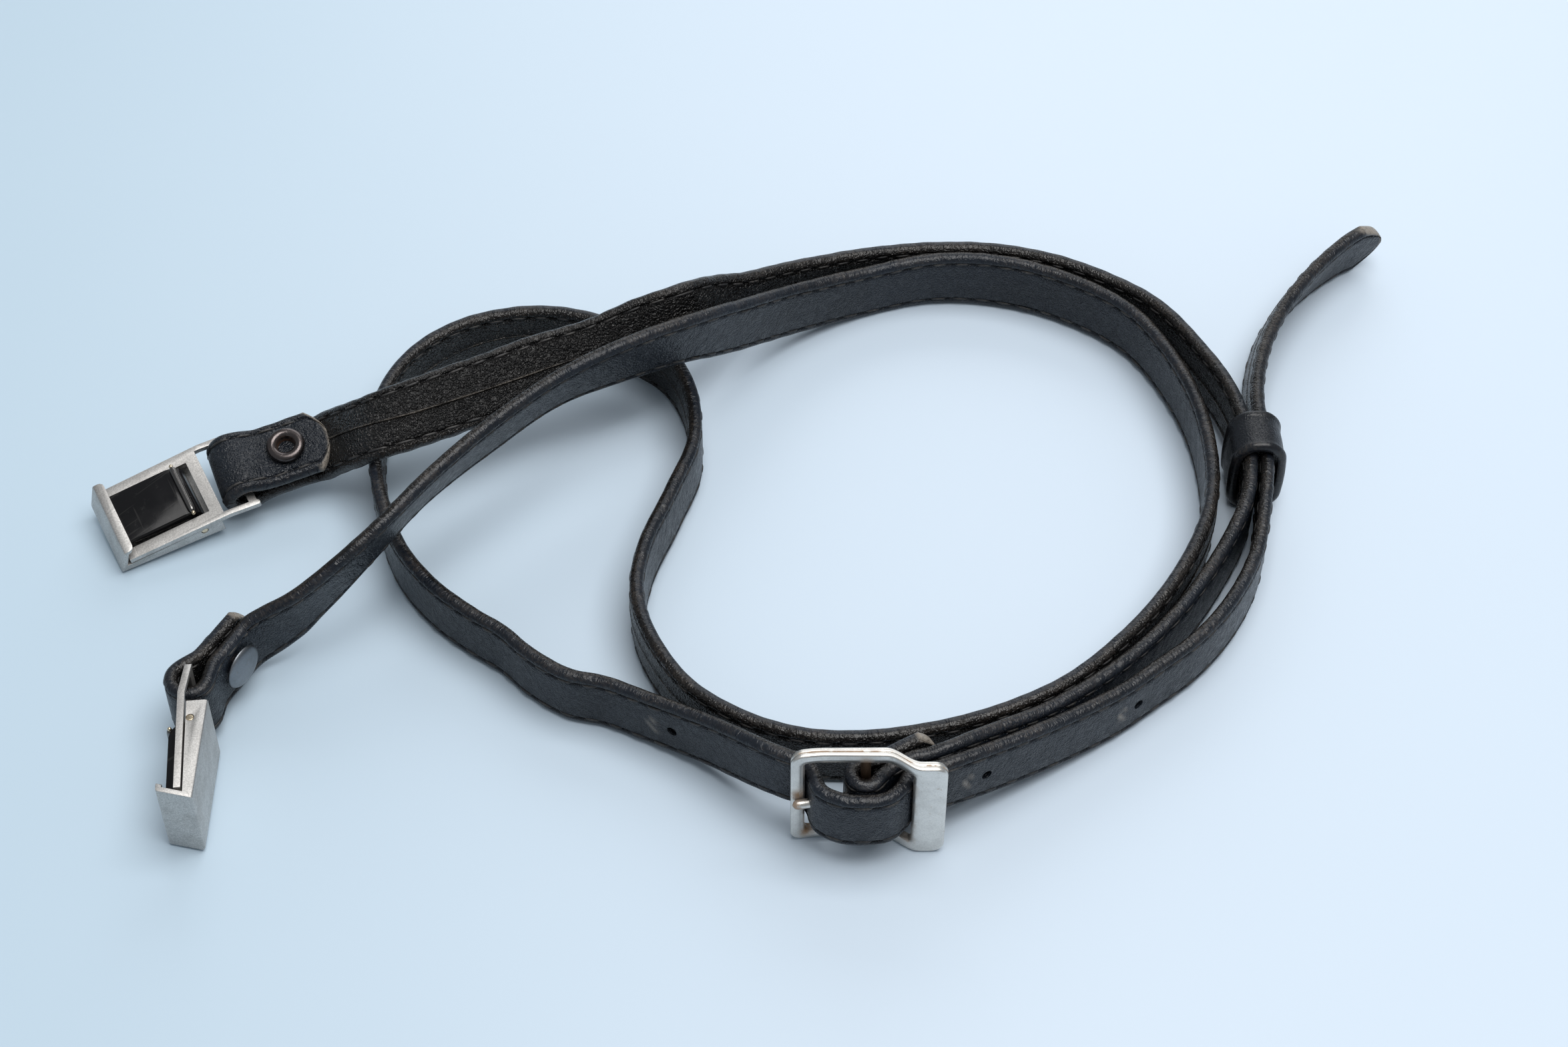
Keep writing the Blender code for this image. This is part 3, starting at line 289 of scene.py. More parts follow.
def with_width(rows: list) -> Array:
    """Place rows with the direction of the band's width in place of the lean.

    Args:
        rows: place and lean.

    Returns:
        Rows of place and width.
    """
    rows = np.asarray(rows, float)
    way = np.gradient(rows[:, :2], axis=0)
    way /= np.linalg.norm(way, axis=1)[:, None]
    lean = np.radians(rows[:, 3])[:, None]
    side = np.column_stack([-way[:, 1], way[:, 0], np.zeros(len(rows))])
    return np.hstack([rows[:, :3], UP * np.cos(lean) + side * np.sin(lean)])


def wander(s: Array, pitch: float, seed: int) -> Array:
    """A smooth random line from -1 to 1: seeded values a pitch apart, joined by half cosines.

    Args:
        s: the places along the line.
        pitch: how far apart the values lie.
        seed: the seed of the values.

    Returns:
        The line at each place.
    """
    values = np.random.default_rng(seed).uniform(-1, 1, int(s.max() / pitch) + 3)
    k = np.clip(s / pitch, 0, len(values) - 1.001)
    lo = k.astype(int)
    ease = (1 - np.cos((k - lo) * math.pi)) / 2
    return values[lo] * (1 - ease) + values[lo + 1] * ease


@dataclass(frozen=True)
class Way:
    """A band's way: its arc length, place, way, width and face at each station."""

    run: Array
    place: Array
    way: Array
    wide: Array
    face: Array

    @classmethod
    def through(cls, rows: Array, step: float = 0.00085, bend: float = 5.0) -> "Way":
        """Stations along the curve through the rows.

        A step is as long as given, and shorter where the curve turns more than the bend, in degrees.

        Args:
            rows: place and width.
            step: the longest step.
            bend: the most turn in a step, in degrees.

        Returns:
            The way.
        """
        fine = fine_way(rows)
        hop = np.linalg.norm(np.diff(fine[:, :3], axis=0), axis=1)
        run = np.concatenate([[0], np.cumsum(hop)])
        way = np.diff(fine[:, :3], axis=0) / hop[:, None]
        angle = np.degrees(np.arccos(np.clip(np.sum(way[1:] * way[:-1], axis=1), -1, 1)))
        angle = np.concatenate([[0], angle, [0]])
        need = np.maximum(1 / step, np.convolve(angle, np.ones(5) / 5, "same") / np.gradient(run) / bend)
        count = np.concatenate([[0], np.cumsum((need[1:] + need[:-1]) / 2 * np.diff(run))])
        at = np.interp(np.linspace(0, count[-1], int(round(count[-1])) + 1), count, run)
        return cls.at_rows(at, np.column_stack([np.interp(at, run, fine[:, k]) for k in range(6)]))

    @classmethod
    def at_rows(cls, run: Array, rows: Array) -> "Way":
        """The frames of rows that hold a place and a width.

        Args:
            run: the arc length of each row.
            rows: place and width.

        Returns:
            The way, moved to the object's frame.
        """
        way = np.gradient(rows[:, :3], axis=0)
        way /= np.linalg.norm(way, axis=1)[:, None]
        wide = rows[:, 3:6] - way * np.sum(rows[:, 3:6] * way, axis=1)[:, None]
        wide /= np.linalg.norm(wide, axis=1)[:, None]
        return cls(run, rows[:, :3] + SHIFT, way, wide, np.cross(wide, way))

    def at(self, s: Array) -> "Way":
        """The frames at other arc lengths, straight between the stations.

        Args:
            s: the arc lengths.

        Returns:
            The way at those lengths.
        """
        parts = []
        for values in (self.place, self.way, self.wide, self.face):
            parts.append(np.stack([np.interp(s, self.run, values[:, k]) for k in range(3)], -1))
        return Way(s, *parts)


@dataclass(frozen=True)
class Axes:
    """A fitting's own axes and the place of its origin."""

    first: Array
    second: Array
    third: Array
    origin: Array

    def place(self, points: Array) -> Array:
        """Points in the fitting's own axes, in the object's frame."""
        return points @ np.stack([self.first, self.second, self.third]) + self.origin + SHIFT


@dataclass
class Layout:
    """Where every strap and fitting lies."""

    clip_length: float = 0.0260
    bar_width: float = 0.0014
    plate_thick: float = 0.0011
    plate_bend: float = 0.18
    clip_half: float = STRAP_WIDTH / 2 + 0.0016
    cover_end: float = field(init=False)
    bar_at: float = field(init=False)
    bend_start: float = field(init=False)
    buckle: Array = field(init=False)
    guide: Array = field(init=False)
    long_way: Way = field(init=False)
    short_way: Way = field(init=False)
    rivets: dict[str, Axes] = field(init=False)
    clips: dict[int, Axes] = field(init=False)
    keeper: Axes = field(init=False)

    BUCKLE_LEFT = 0.0116
    BUCKLE_RIGHT = 0.0125
    NARROW_BAR = 0.0022
    BEHIND_BAR = 0.0009 + GAP + STRAP_THICK / 2
    BROAD_FORWARD = 0.0027
    FOLD_RADIUS = 0.0008 + GAP + STRAP_THICK / 2

    def __post_init__(self) -> None:
        """Works the places out in the order in which they hang on each other."""
        self.bar_at = self.clip_length - self.bar_width / 2 - 0.0004
        self.bend_start = self.clip_length * 0.79
        self.cover_end = self.bar_at - LOOP_RADIUS - STRAP_THICK / 2 - 0.0011 - 0.0021 + 0.0012
        self.buckle = np.array([0.0548 * LAID_LENGTH, -0.4727 * LAID_DEPTH, 0.0])
        bar_2 = np.array([-0.4125 * LAID_LENGTH, -0.317 * LAID_DEPTH, self.clip_half])
        heading = turn((1, 0, 0), UP, 60.0)
        flap = turn(heading, UP, 90)
        rows = plan_rows(LONG_ROWS)
        first = [*(bar_2 + heading * 0.9 * FLAP_REACH - flap * LAYER / 2), 0]
        self.guide = fine_way(np.array([first] + rows))[SAMPLES:]
        self.long_way = Way.through(self._long_rows(bar_2, heading, flap, rows))

        way = turn(turn((1, 0, 0), (0, 1, 0), -5.0), UP, 21.0)
        wide = unit(turn(np.cross(way, turn((0, 1, 0), UP, 21.0)), way, -78.5))
        face = np.cross(way, wide)
        axes_1 = self._clip_axes(way, face, 6.0, -3.0)
        bar_1 = np.array([-0.406 * LAID_LENGTH, 0.043 * LAID_DEPTH, self._lowest(axes_1)])
        self.short_way = Way.through(self._short_rows(bar_1, way, wide, face))
        axes_2 = self._clip_axes(heading, flap, 0, -35.0)
        self.clips = {1: self._clip_at(bar_1, axes_1), 2: self._clip_at(bar_2, axes_2)}
        self.rivets = {
            "rivet_clip_1": Axes(way, np.cross(face, way), face, bar_1 + way * RIVET_REACH),
            "rivet_clip_2": Axes(heading, np.cross(flap, heading), flap, bar_2 + heading * RIVET_REACH),
        }
        lo = int(KEEPER_ROW * SAMPLES)
        along = np.append(unit(self.guide[lo + WAY_REACH, :2] - self.guide[lo - WAY_REACH, :2]), 0)
        out = np.cross(UP, along)
        middle = self.guide[lo, :3] + out * (1.5 * LAYER + 0.2935 * STRAP_WIDTH)
        middle[2] = STRAP_WIDTH / 2 + IN_KEEPER
        self.keeper = Axes(out, -along, UP, middle)

    def eyes(self) -> list[float]:
        """The arc lengths of the free eyes, counted from the one that the prong is through.

        Returns:
            One arc length of the long strap for each eye.
        """
        offset = self.long_way.place[:, :2] - SHIFT[:2] - self.buckle[:2] - np.array(PRONG_THROUGH)
        near = float(self.long_way.run[int(np.argmin(np.linalg.norm(offset, axis=1)))])
        return [near + k * EYE_PITCH for k in (-1, 1, 2)]

    def _fold(self, bar: Array, way: Array, wide: Array, flap: Array) -> list:
        """A strap end folded round a bar: its flap, half a turn, and the straight part by the rivet.

        Args:
            bar: the bar's middle.
            way: from the bar along the strap.
            wide: along the bar.
            flap: from the strap to its flap.

        Returns:
            Rows of place and width.
        """
        half, r = LAYER / 2, LOOP_RADIUS
        flat = [(reach, half) for reach in (FLAP_REACH - 0.0005, RIVET_REACH, 0.5 * FLAP_REACH)]
        flat.append((r * 1.45, half * 1.12))
        points = flat + on_circle(r, range(75, 286, 30)) + [(u, -n) for u, n in reversed(flat)]
        return [np.concatenate([bar + way * u + flap * n, wide]) for u, n in points]

    def _in_buckle(self, points: tuple) -> list:
        """Points in the buckle's plan as rows with an upright width."""
        height = IN_BUCKLE + STRAP_WIDTH / 2
        return [np.concatenate([self.buckle + np.array([x, y, height]), UP]) for x, y in points]

    def _long_rows(self, bar: Array, heading: Array, flap: Array, rows: list) -> Array:
        """The long strap: fold, loops, through the buckle, and out to the tail.

        Args:
            bar: the middle of its clip's bar.
            heading: from the bar along the strap.
            flap: from the strap to its flap.
            rows: its rows of place and lean as far as the buckle.

        Returns:
            Rows of place and width.
        """
        back, r, behind = self.BEHIND_BAR, self.FOLD_RADIUS, self.BEHIND_BAR - self.BROAD_FORWARD
        inside = self._in_buckle((
            (-self.BUCKLE_LEFT - 0.0030, back + 0.0024),
            (-self.BUCKLE_LEFT, back + 0.0010),
            (-self.BUCKLE_LEFT + self.NARROW_BAR - 0.0002, back + 0.0004),
            (-0.0081, 0.0001),
            (-0.0070, -(r + LAYER) * 0.58),
            (-0.0038, -(r + LAYER) * 0.95),
            (0.0004, -(r + LAYER) * 1.02),
            (0.0036, -(r + LAYER) * 0.88),
            (0.0056, -0.0025),
            (0.0073, behind + 0.0007),
            (0.0096, behind + 0.0012),
            (self.BUCKLE_RIGHT, behind + 0.0022),
        ))
        leave = [[*p[:3], 0] for p in inside[-2:]]
        beside = with_width(leave + beside_rows(LONG_BESIDE, self.guide) + plan_rows(TAIL_ROWS))[2:]
        folded = self._fold(bar, heading, UP, flap)
        return np.vstack(folded + [with_width(rows)[1:], np.array(inside), beside])

    def _short_rows(self, bar: Array, way: Array, wide: Array, face: Array) -> Array:
        """The short strap: fold, along the large loop, and round the buckle's centre bar.

        Args:
            bar: the middle of its clip's bar.
            way: from the bar along the strap.
            wide: along the bar.
            face: from the strap to its flap.

        Returns:
            Rows of place and width.
        """
        behind, r = self.BEHIND_BAR - self.BROAD_FORWARD, self.FOLD_RADIUS
        leave = (
            (self.BUCKLE_RIGHT + 0.0010, behind + 0.0029 + LAYER),
            (0.0100, behind + 0.0014 + LAYER),
            (0.0074, behind + 0.0007 + LAYER),
            (0.0050, 0.0019),
            (0.0029, 0.0001),
        )
        arc = tuple(on_circle(r, range(-62, -271, -26)))
        flap = ((0.0018, r + 0.0004), (0.0040, r + 0.0019), (0.0086, behind + 0.0016 + 2 * LAYER))
        start = self._fold(bar, way, wide, face)
        free = [[*start[-1][:3], 78.5]] + plan_rows(SHORT_ROWS) + beside_rows(SHORT_BESIDE, self.guide)
        free.append([*self._in_buckle(leave)[0][:3], 0])
        around = np.array(self._in_buckle(leave + arc + flap))
        return np.vstack([np.array(start), with_width(free)[1:-1], around])

    def _clip_axes(self, way: Array, flap: Array, skew: float, swing: float) -> tuple[Array, Array, Array]:
        """Lip to bar, across, and out of the back, hanging on the strap's fold.

        Args:
            way: the strap's way from the bar.
            flap: from the strap to its flap.
            skew: the turn about the flap's direction, in degrees.
            swing: the turn about the bar, in degrees.

        Returns:
            The clip's three axes.
        """
        way = turn(way, flap, skew)
        across = np.cross(flap, way)
        way = turn(way, across, swing)
        return way, across, np.cross(way, across)

    def _bar_local(self) -> tuple[float, float]:
        """The end bar's place along the clip and out of its back."""
        return self.bar_at, -self.plate_bend * (self.bar_at - self.bend_start)

    def _clip_at(self, bar: Array, axes: tuple[Array, Array, Array]) -> Axes:
        """The clip's axes with the origin that puts its end bar on the given place."""
        x, z = self._bar_local()
        return Axes(*axes, bar - axes[0] * x - axes[2] * z)

    def _lowest(self, axes: tuple[Array, Array, Array]) -> float:
        """How far the clip's lowest corner lies under its bar.

        Args:
            axes: the clip's three axes.

        Returns:
            The distance along the object's third axis.
        """
        x0, z0 = self._bar_local()
        under = self.plate_thick / 2 + GAP + 0.0009
        corners = (
            (0.0, -under - 0.0007),
            (self.cover_end, -under - 0.0025),
            (0.0, 0.0021 + GAP),
            (self.clip_length, z0 - self.plate_thick / 2),
        )
        low = 0.0
        for x, z in corners:
            for y in (-self.clip_half * 0.955, self.clip_half * 0.955):
                low = min(low, (axes[0] * (x - x0) + axes[1] * y + axes[2] * (z - z0))[2])
        return -low


def quads(rows: int, columns: int, wrap_rows: bool, wrap_columns: bool) -> Array:
    """Corner numbers of a grid's faces, with a closed direction joined to its start.

    Args:
        rows: the grid's rows.
        columns: the grid's columns.
        wrap_rows: whether the last row joins the first.
        wrap_columns: whether the last column joins the first.

    Returns:
        Four corner numbers for each face.
    """
    i = np.arange(rows if wrap_rows else rows - 1)[:, None]
    j = np.arange(columns if wrap_columns else columns - 1)[None, :]
    i1, j1 = (i + 1) % rows, (j + 1) % columns
    corners = [i * columns + j, i * columns + j1, i1 * columns + j1, i1 * columns + j]
    return np.stack(np.broadcast_arrays(*corners), -1).reshape(-1, 4)


def end_caps(rows: int, columns: int, start: int = 0) -> list:
    """Corner numbers of the faces that close a tube of rings at its two ends."""
    last = start + (rows - 1) * columns
    return [list(range(start, start + columns)), list(range(last, last + columns))[::-1]]


def strand_map(along: Array, around: Array) -> Array:
    """Metres along and around at the corners of a grid's faces.

    Args:
        along: the place along of the line before each row of faces, and of the last line.
        around: the same for each column of faces.

    Returns:
        Two numbers for each corner of each face.
    """
    i = np.repeat(np.arange(len(along) - 1), len(around) - 1)
    j = np.tile(np.arange(len(around) - 1), len(along) - 1)
    corners = ((0, 0), (0, 1), (1, 1), (1, 0))
    return np.stack([np.stack([along[i + di], around[j + dj]], -1) for di, dj in corners], 1)


def set_mask(mesh: bpy.types.Mesh, name: str, values: Array) -> None:
    """Keeps a share for each point on the mesh."""
    layer = mesh.attributes.new(name, "FLOAT", "POINT")
    layer.data.foreach_set("value", values.astype(np.float32).ravel())


def volume(points: Array, faces: Array) -> float:
    """Six times the signed volume within a closed mesh of quads, positive where they point out."""
    a, b, c, d = (points[faces[:, k]] - points.mean(axis=0) for k in range(4))
    return float(np.sum(np.cross(a, b) * c) + np.sum(np.cross(a, c) * d))


def piece(name: str, points: Array, faces: Array, caps: list | None = None, masks: Masks | None = None,
          uv: Array | None = None, smooth: float = SHARP) -> Object:
    """An object at the origin from quads and caps, facing outward, with masks and a UV map.

    Args:
        name: the object's name.
        points: places, one row each.
        faces: corner numbers of the quads.
        caps: corner numbers of the end faces.
        masks: shares from 0 to 1 for each point.
        uv: two numbers for each corner of each quad, in metres along and around.
        smooth: edges that turn by more than this angle in degrees stay sharp.

    Returns:
        The object, linked to the scene.
    """
    caps = [list(c) for c in caps or []]
    if volume(points, faces) < 0:
        faces = faces[:, ::-1]
        uv = None if uv is None else uv[:, ::-1]
        caps = [c[::-1] for c in caps]
    mesh = bpy.data.meshes.new(name)
    mesh.from_pydata(points.tolist(), [], faces.tolist() + caps)
    for key, values in (masks or {}).items():
        set_mask(mesh, key, values)
    if uv is not None:
        layer = mesh.uv_layers.new(name="strand")
        flat = np.zeros((len(mesh.loops), 2), np.float32)
        flat[:len(faces) * 4] = uv.reshape(-1, 2)
        layer.data.foreach_set("uv", flat.ravel())
    mesh.update()
    mesh.shade_smooth()
    mesh.set_sharp_from_angle(angle=math.radians(smooth))
    obj = bpy.data.objects.new(name, mesh)
    bpy.context.scene.collection.objects.link(obj)
    return obj


def cut_away(obj: Object, cutters: list[Object]) -> None:
    """Cuts solids out of an object and removes them.

    Args:
        obj: the object that is cut.
        cutters: the solids.
    """
    for cutter in cutters:
        modifier = obj.modifiers.new("hole", "BOOLEAN")
        modifier.operation = "DIFFERENCE"
        modifier.solver = "EXACT"
        modifier.object = cutter
    graph = bpy.context.evaluated_depsgraph_get()
    cut = obj.evaluated_get(graph)
    mesh = bpy.data.meshes.new_from_object(cut, preserve_all_data_layers=True, depsgraph=graph)
    obj.modifiers.clear()
    obj.data = mesh
    mesh.set_sharp_from_angle(angle=math.radians(SHARP))
    for cutter in cutters:
        bpy.data.objects.remove(cutter)


def revolved(name: str, profile: Array, axes: Axes, segments: int, masks: Masks | None = None) -> Object:
    """A profile of radius and height turned about the third axis: (r cos a, r sin a, z).

    Args:
        name: the object's name.
        profile: radius and height of each ring.
        axes: where its middle line stands.
        segments: the points of a ring.
        masks: shares from 0 to 1 for each ring.

    Returns:
        The object, linked to the scene.
    """
    a = np.linspace(0, 2 * math.pi, segments, endpoint=False)
    r, z = profile[:, 0], profile[:, 1]
    grid = np.stack([np.outer(r, np.cos(a)), np.outer(r, np.sin(a)), np.outer(z, np.ones(segments))], -1)
    around = {k: np.repeat(v, segments) for k, v in (masks or {}).items()}
    faces = quads(len(r), segments, False, True)
    return piece(name, axes.place(grid.reshape(-1, 3)), faces, end_caps(len(r), segments), around)


def tube(name: str, path: Array, radii: Array, sides: int) -> Object:
    """A round tube along a path: place + r (cos a side + sin a up), side and up square to the way.

    Args:
        name: the object's name.
        path: the places of its middle line.
        radii: the radius at each place.
        sides: the points of a ring.

    Returns:
        The object, linked to the scene.
    """
    way = np.gradient(path, axis=0)
    way /= np.linalg.norm(way, axis=1)[:, None]
    side = np.cross(way, np.where(np.abs(way[:, 2:]) > 0.9, np.array([[1.0, 0, 0]]), UP))
    side /= np.linalg.norm(side, axis=1)[:, None]
    up = np.cross(side, way)
    a = np.linspace(0, 2 * math.pi, sides, endpoint=False)
    ring = side[:, None] * np.cos(a)[None, :, None] + up[:, None] * np.sin(a)[None, :, None]
    grid = path[:, None] + ring * radii[:, None, None]
    faces = quads(len(path), sides, False, True)
    return piece(name, grid.reshape(-1, 3), faces, end_caps(len(path), sides))


class Graph:
    """Adds nodes to one tree and joins them."""

    def __init__(self, tree: NodeTree) -> None:
        """Starts on a tree."""
        self.tree = tree

    def add(self, kind: str, inputs: dict | None = None, **settings: object) -> Node:
        """A node with its settings.

        Args:
            kind: the node's type.
            inputs: for each input, a socket to join or a value to set.
            settings: the node's own settings.

        Returns:
            The node.
        """
        node = self.tree.nodes.new(kind)
        for key, value in settings.items():
            setattr(node, key, value)
        for key, value in (inputs or {}).items():
            if isinstance(value, Socket):
                self.join(value, node.inputs[key])
            else:
                node.inputs[key].default_value = value
        return node

    def join(self, out: Socket, into: Socket) -> None:
        """Joins two sockets."""
        self.tree.links.new(out, into)

    def effect(self, tree: NodeTree, **inputs: object) -> bpy.types.NodeOutputs:
        """The outputs of a shared effect."""
        return self.add("ShaderNodeGroup", inputs, node_tree=tree).outputs

    def math(self, operation: str, a: object, b: object = 0.0, clamp: bool = False) -> Socket:
        """The result of one sum."""
        return self.add("ShaderNodeMath", {0: a, 1: b}, operation=operation, use_clamp=clamp).outputs[0]

    def times(self, a: object, b: object, clamp: bool = False) -> Socket:
        """Two values multiplied."""
        return self.math("MULTIPLY", a, b, clamp)

    def plus(self, a: object, b: object, clamp: bool = False) -> Socket:
        """Two values added."""
        return self.math("ADD", a, b, clamp)

    def vectors(self, operation: str, a: object, b: object) -> Socket:
        """The result of one sum of vectors."""
        return self.add("ShaderNodeVectorMath", {0: a, 1: b}, operation=operation).outputs[0]

    def mix(self, factor: object, a: object, b: object) -> Socket:
        """One colour turning into another."""
        return self.add("ShaderNodeMix", {0: factor, 6: a, 7: b}, data_type="RGBA").outputs[2]

    def span(self, value: object, low: float, high: float, start: float = 0.0, end: float = 1.0) -> Socket:
        """A value eased from one range to another and held at its ends."""
        inputs = {0: value, 1: low, 2: high, 3: start, 4: end}
        return self.add("ShaderNodeMapRange", inputs, interpolation_type="SMOOTHSTEP").outputs[0]

    def noise(self, vector: object, scale: float, detail: float = 2.0, rough: float = 0.5) -> Socket:
        """Cloudy noise about one half."""
        inputs = {"Vector": vector, "Scale": scale, "Detail": detail, "Roughness": rough}
        return self.add("ShaderNodeTexNoise", inputs).outputs[0]

    def warped(self, vector: object, place: object, scale: float, detail: float, reach: tuple) -> Socket:
        """A vector shifted by the three values of a noise.

        Args:
            vector: what is shifted.
            place: where the noise is read.
            scale: the noise's waves in a metre.
            detail: its finer octaves.
            reach: the shift along each axis where the noise is one.

        Returns:
            The shifted vector.
        """
        noise = self.add("ShaderNodeTexNoise", {"Vector": place, "Scale": scale, "Detail": detail})
        return self.vectors("ADD", vector, self.vectors("MULTIPLY", noise.outputs[1], reach))

    def stretched(self, vector: object, scale: tuple[float, float, float]) -> Socket:
        """A vector scaled along each axis."""
        return self.add("ShaderNodeMapping", {"Vector": vector, "Scale": scale}).outputs[0]

    def object_place(self) -> Socket:
        """The place on the object."""
        return self.add("ShaderNodeTexCoord").outputs["Object"]

    def mask(self, name: str) -> Socket:
        """A share kept on the mesh."""
        return self.add("ShaderNodeAttribute", attribute_name=name).outputs["Fac"]

    def bump(self, shader: Node, strength: float, distance: float, height: object) -> None:
        """Raises a shader's surface by a height, as many metres as the distance where it is one."""
        inputs = {"Strength": strength, "Distance": distance, "Height": height}
        self.join(self.add("ShaderNodeBump", inputs).outputs[0], shader.inputs["Normal"])


def group(name: str, vector: str, numbers: tuple, outputs: tuple) -> tuple[NodeTree, Graph, dict, dict]:
    """An empty shader group with named sockets.

    Args:
        name: the group's name.
        vector: the name of its vector input.
        numbers: the names of its number inputs.
        outputs: the names of its number outputs.

    Returns:
        The group, its graph, its input sockets and its output sockets.
    """
    tree = bpy.data.node_groups.new(name, "ShaderNodeTree")
    tree.interface.new_socket(name=vector, in_out="INPUT", socket_type="NodeSocketVector")
    for keys, side in ((numbers, "INPUT"), (outputs, "OUTPUT")):
        for key in keys:
            tree.interface.new_socket(name=key, in_out=side, socket_type="NodeSocketFloat")
    graph = Graph(tree)
    return tree, graph, graph.add("NodeGroupInput").outputs, graph.add("NodeGroupOutput").inputs


class Effects:
    """The surface effects that more than one finish uses, each a group made once."""

    def __init__(self) -> None:
        """Makes the groups."""
        self.grain = self._grain()
        self.wrinkles = self._wrinkles()
        self.wear = self._wear()
        self.tarnish = self._tarnish()
        self.scratches = self._scratches()

    def _grain(self) -> NodeTree:
        """Leather grain: rounded cells between fine cracks, and finer pores on them.

        Returns:
            The group; it takes the cells in a metre and the share of the pores.
        """
        tree, g, source, sink = group("leather_grain", "Place", ("Cell", "Pores"), ("Height", "Crack"))
        place = g.warped(source["Place"], source["Place"], 900.0, 1.0, (0.0007, 0.0007, 0.0007))
        inputs = {"Vector": place, "Scale": source["Cell"]}
        cells = g.add("ShaderNodeTexVoronoi", inputs, feature="DISTANCE_TO_EDGE").outputs[0]
        pores = g.times(g.noise(source["Place"], 5200.0, 2.0, 0.6), source["Pores"])
        g.join(g.plus(g.span(cells, 0.0, 0.34), pores), sink["Height"])
        g.join(g.span(cells, 0.0, 0.10, 1.0, 0.0), sink["Crack"])
        return tree

    def _wrinkles(self) -> NodeTree:
        """Fine wrinkles across a folded edge, from the place along and around the strap.

        Returns:
            The group; it takes the mask of the folded edge.
        """
        tree, g, source, sink = group("edge_wrinkles", "Strand", ("Rim",), ("Height",))
        lines = g.noise(g.stretched(source["Strand"], (1450.0, 210.0, 1.0)), 1.0, 2.0, 0.55)
        broad = g.noise(g.stretched(source["Strand"], (420.0, 120.0, 1.0)), 1.0, 1.0)
        sharp = g.times(g.span(lines, 0.34, 0.66), g.span(broad, 0.30, 0.62, 0.35, 1.0))
        g.join(g.times(sharp, source["Rim"]), sink["Height"])
        return tree

    def _wear(self) -> NodeTree:
        """Patchy wear where a mask is high.

        Returns:
            The group; it takes the mask and the amount of wear.
        """
        tree, g, source, sink = group("patchy_wear", "Place", ("Mask", "Amount"), ("Wear",))
        patches = g.span(g.noise(source["Place"], 160.0, 4.0, 0.65), 0.36, 0.64)
        specks = g.span(g.noise(source["Place"], 2200.0, 2.0, 0.6), 0.36, 0.62)
        masked = g.times(g.times(patches, specks), source["Mask"])
        g.join(g.times(masked, source["Amount"], True), sink["Wear"])
        return tree

    def _tarnish(self) -> NodeTree:
        """Spots where plating has gone, more of them where a mask is high.

        Returns:
            The group; it takes the mask and the amount of spots.
        """
        tree, g, source, sink = group("tarnish", "Place", ("Mask", "Amount"), ("Spots", "Haze"))
        place = source["Place"]
        spots = g.span(g.noise(place, 1300.0, 4.0, 0.7), 0.62, 0.72)
        edge = g.times(g.span(g.noise(place, 700.0, 3.0, 0.6), 0.38, 0.56), source["Mask"])
        g.join(g.plus(g.times(spots, source["Amount"]), edge, True), sink["Spots"])
        g.join(g.span(g.noise(place, 260.0, 3.0, 0.6), 0.40, 0.70), sink["Haze"])
        return tree

    def _scratches(self) -> NodeTree:
        """Fine scratches in two slanting directions.

        Returns:
            The group; it takes the amount of scratches.
        """
        tree, g, source, sink = group("fine_scratches", "Place", ("Amount",), ("Lines",))
        lines = []
        for turned, cell in ((0.5, (0.00070, 0.030, 0.0040)), (-0.9, (0.00060, 0.025, 0.0035))):
            inputs = {"Vector": source["Place"], "Rotation": (0.0, 0.0, turned), "Scale": cell}
            spun = g.add("ShaderNodeMapping", inputs, vector_type="TEXTURE")
            lines.append(g.span(g.noise(spun.outputs[0], 1.0, 1.0), 0.665, 0.70))
        g.join(g.times(g.math("MAXIMUM", *lines), source["Amount"], True), sink["Lines"])
        return tree


def blank(name: str) -> tuple[Material, Graph, Node]:
    """A new material, its graph and its shader.

    Args:
        name: the material's name.

    Returns:
        The material, its graph and its shader.
    """
    material = bpy.data.materials.new(name)
    material.use_nodes = True
    return material, Graph(material.node_tree), material.node_tree.nodes["Principled BSDF"]


def scaled(colour: tuple, share: float) -> tuple:
    """A colour made lighter or darker, its alpha one."""
    return tuple(c * share for c in colour[:3]) + (1,)


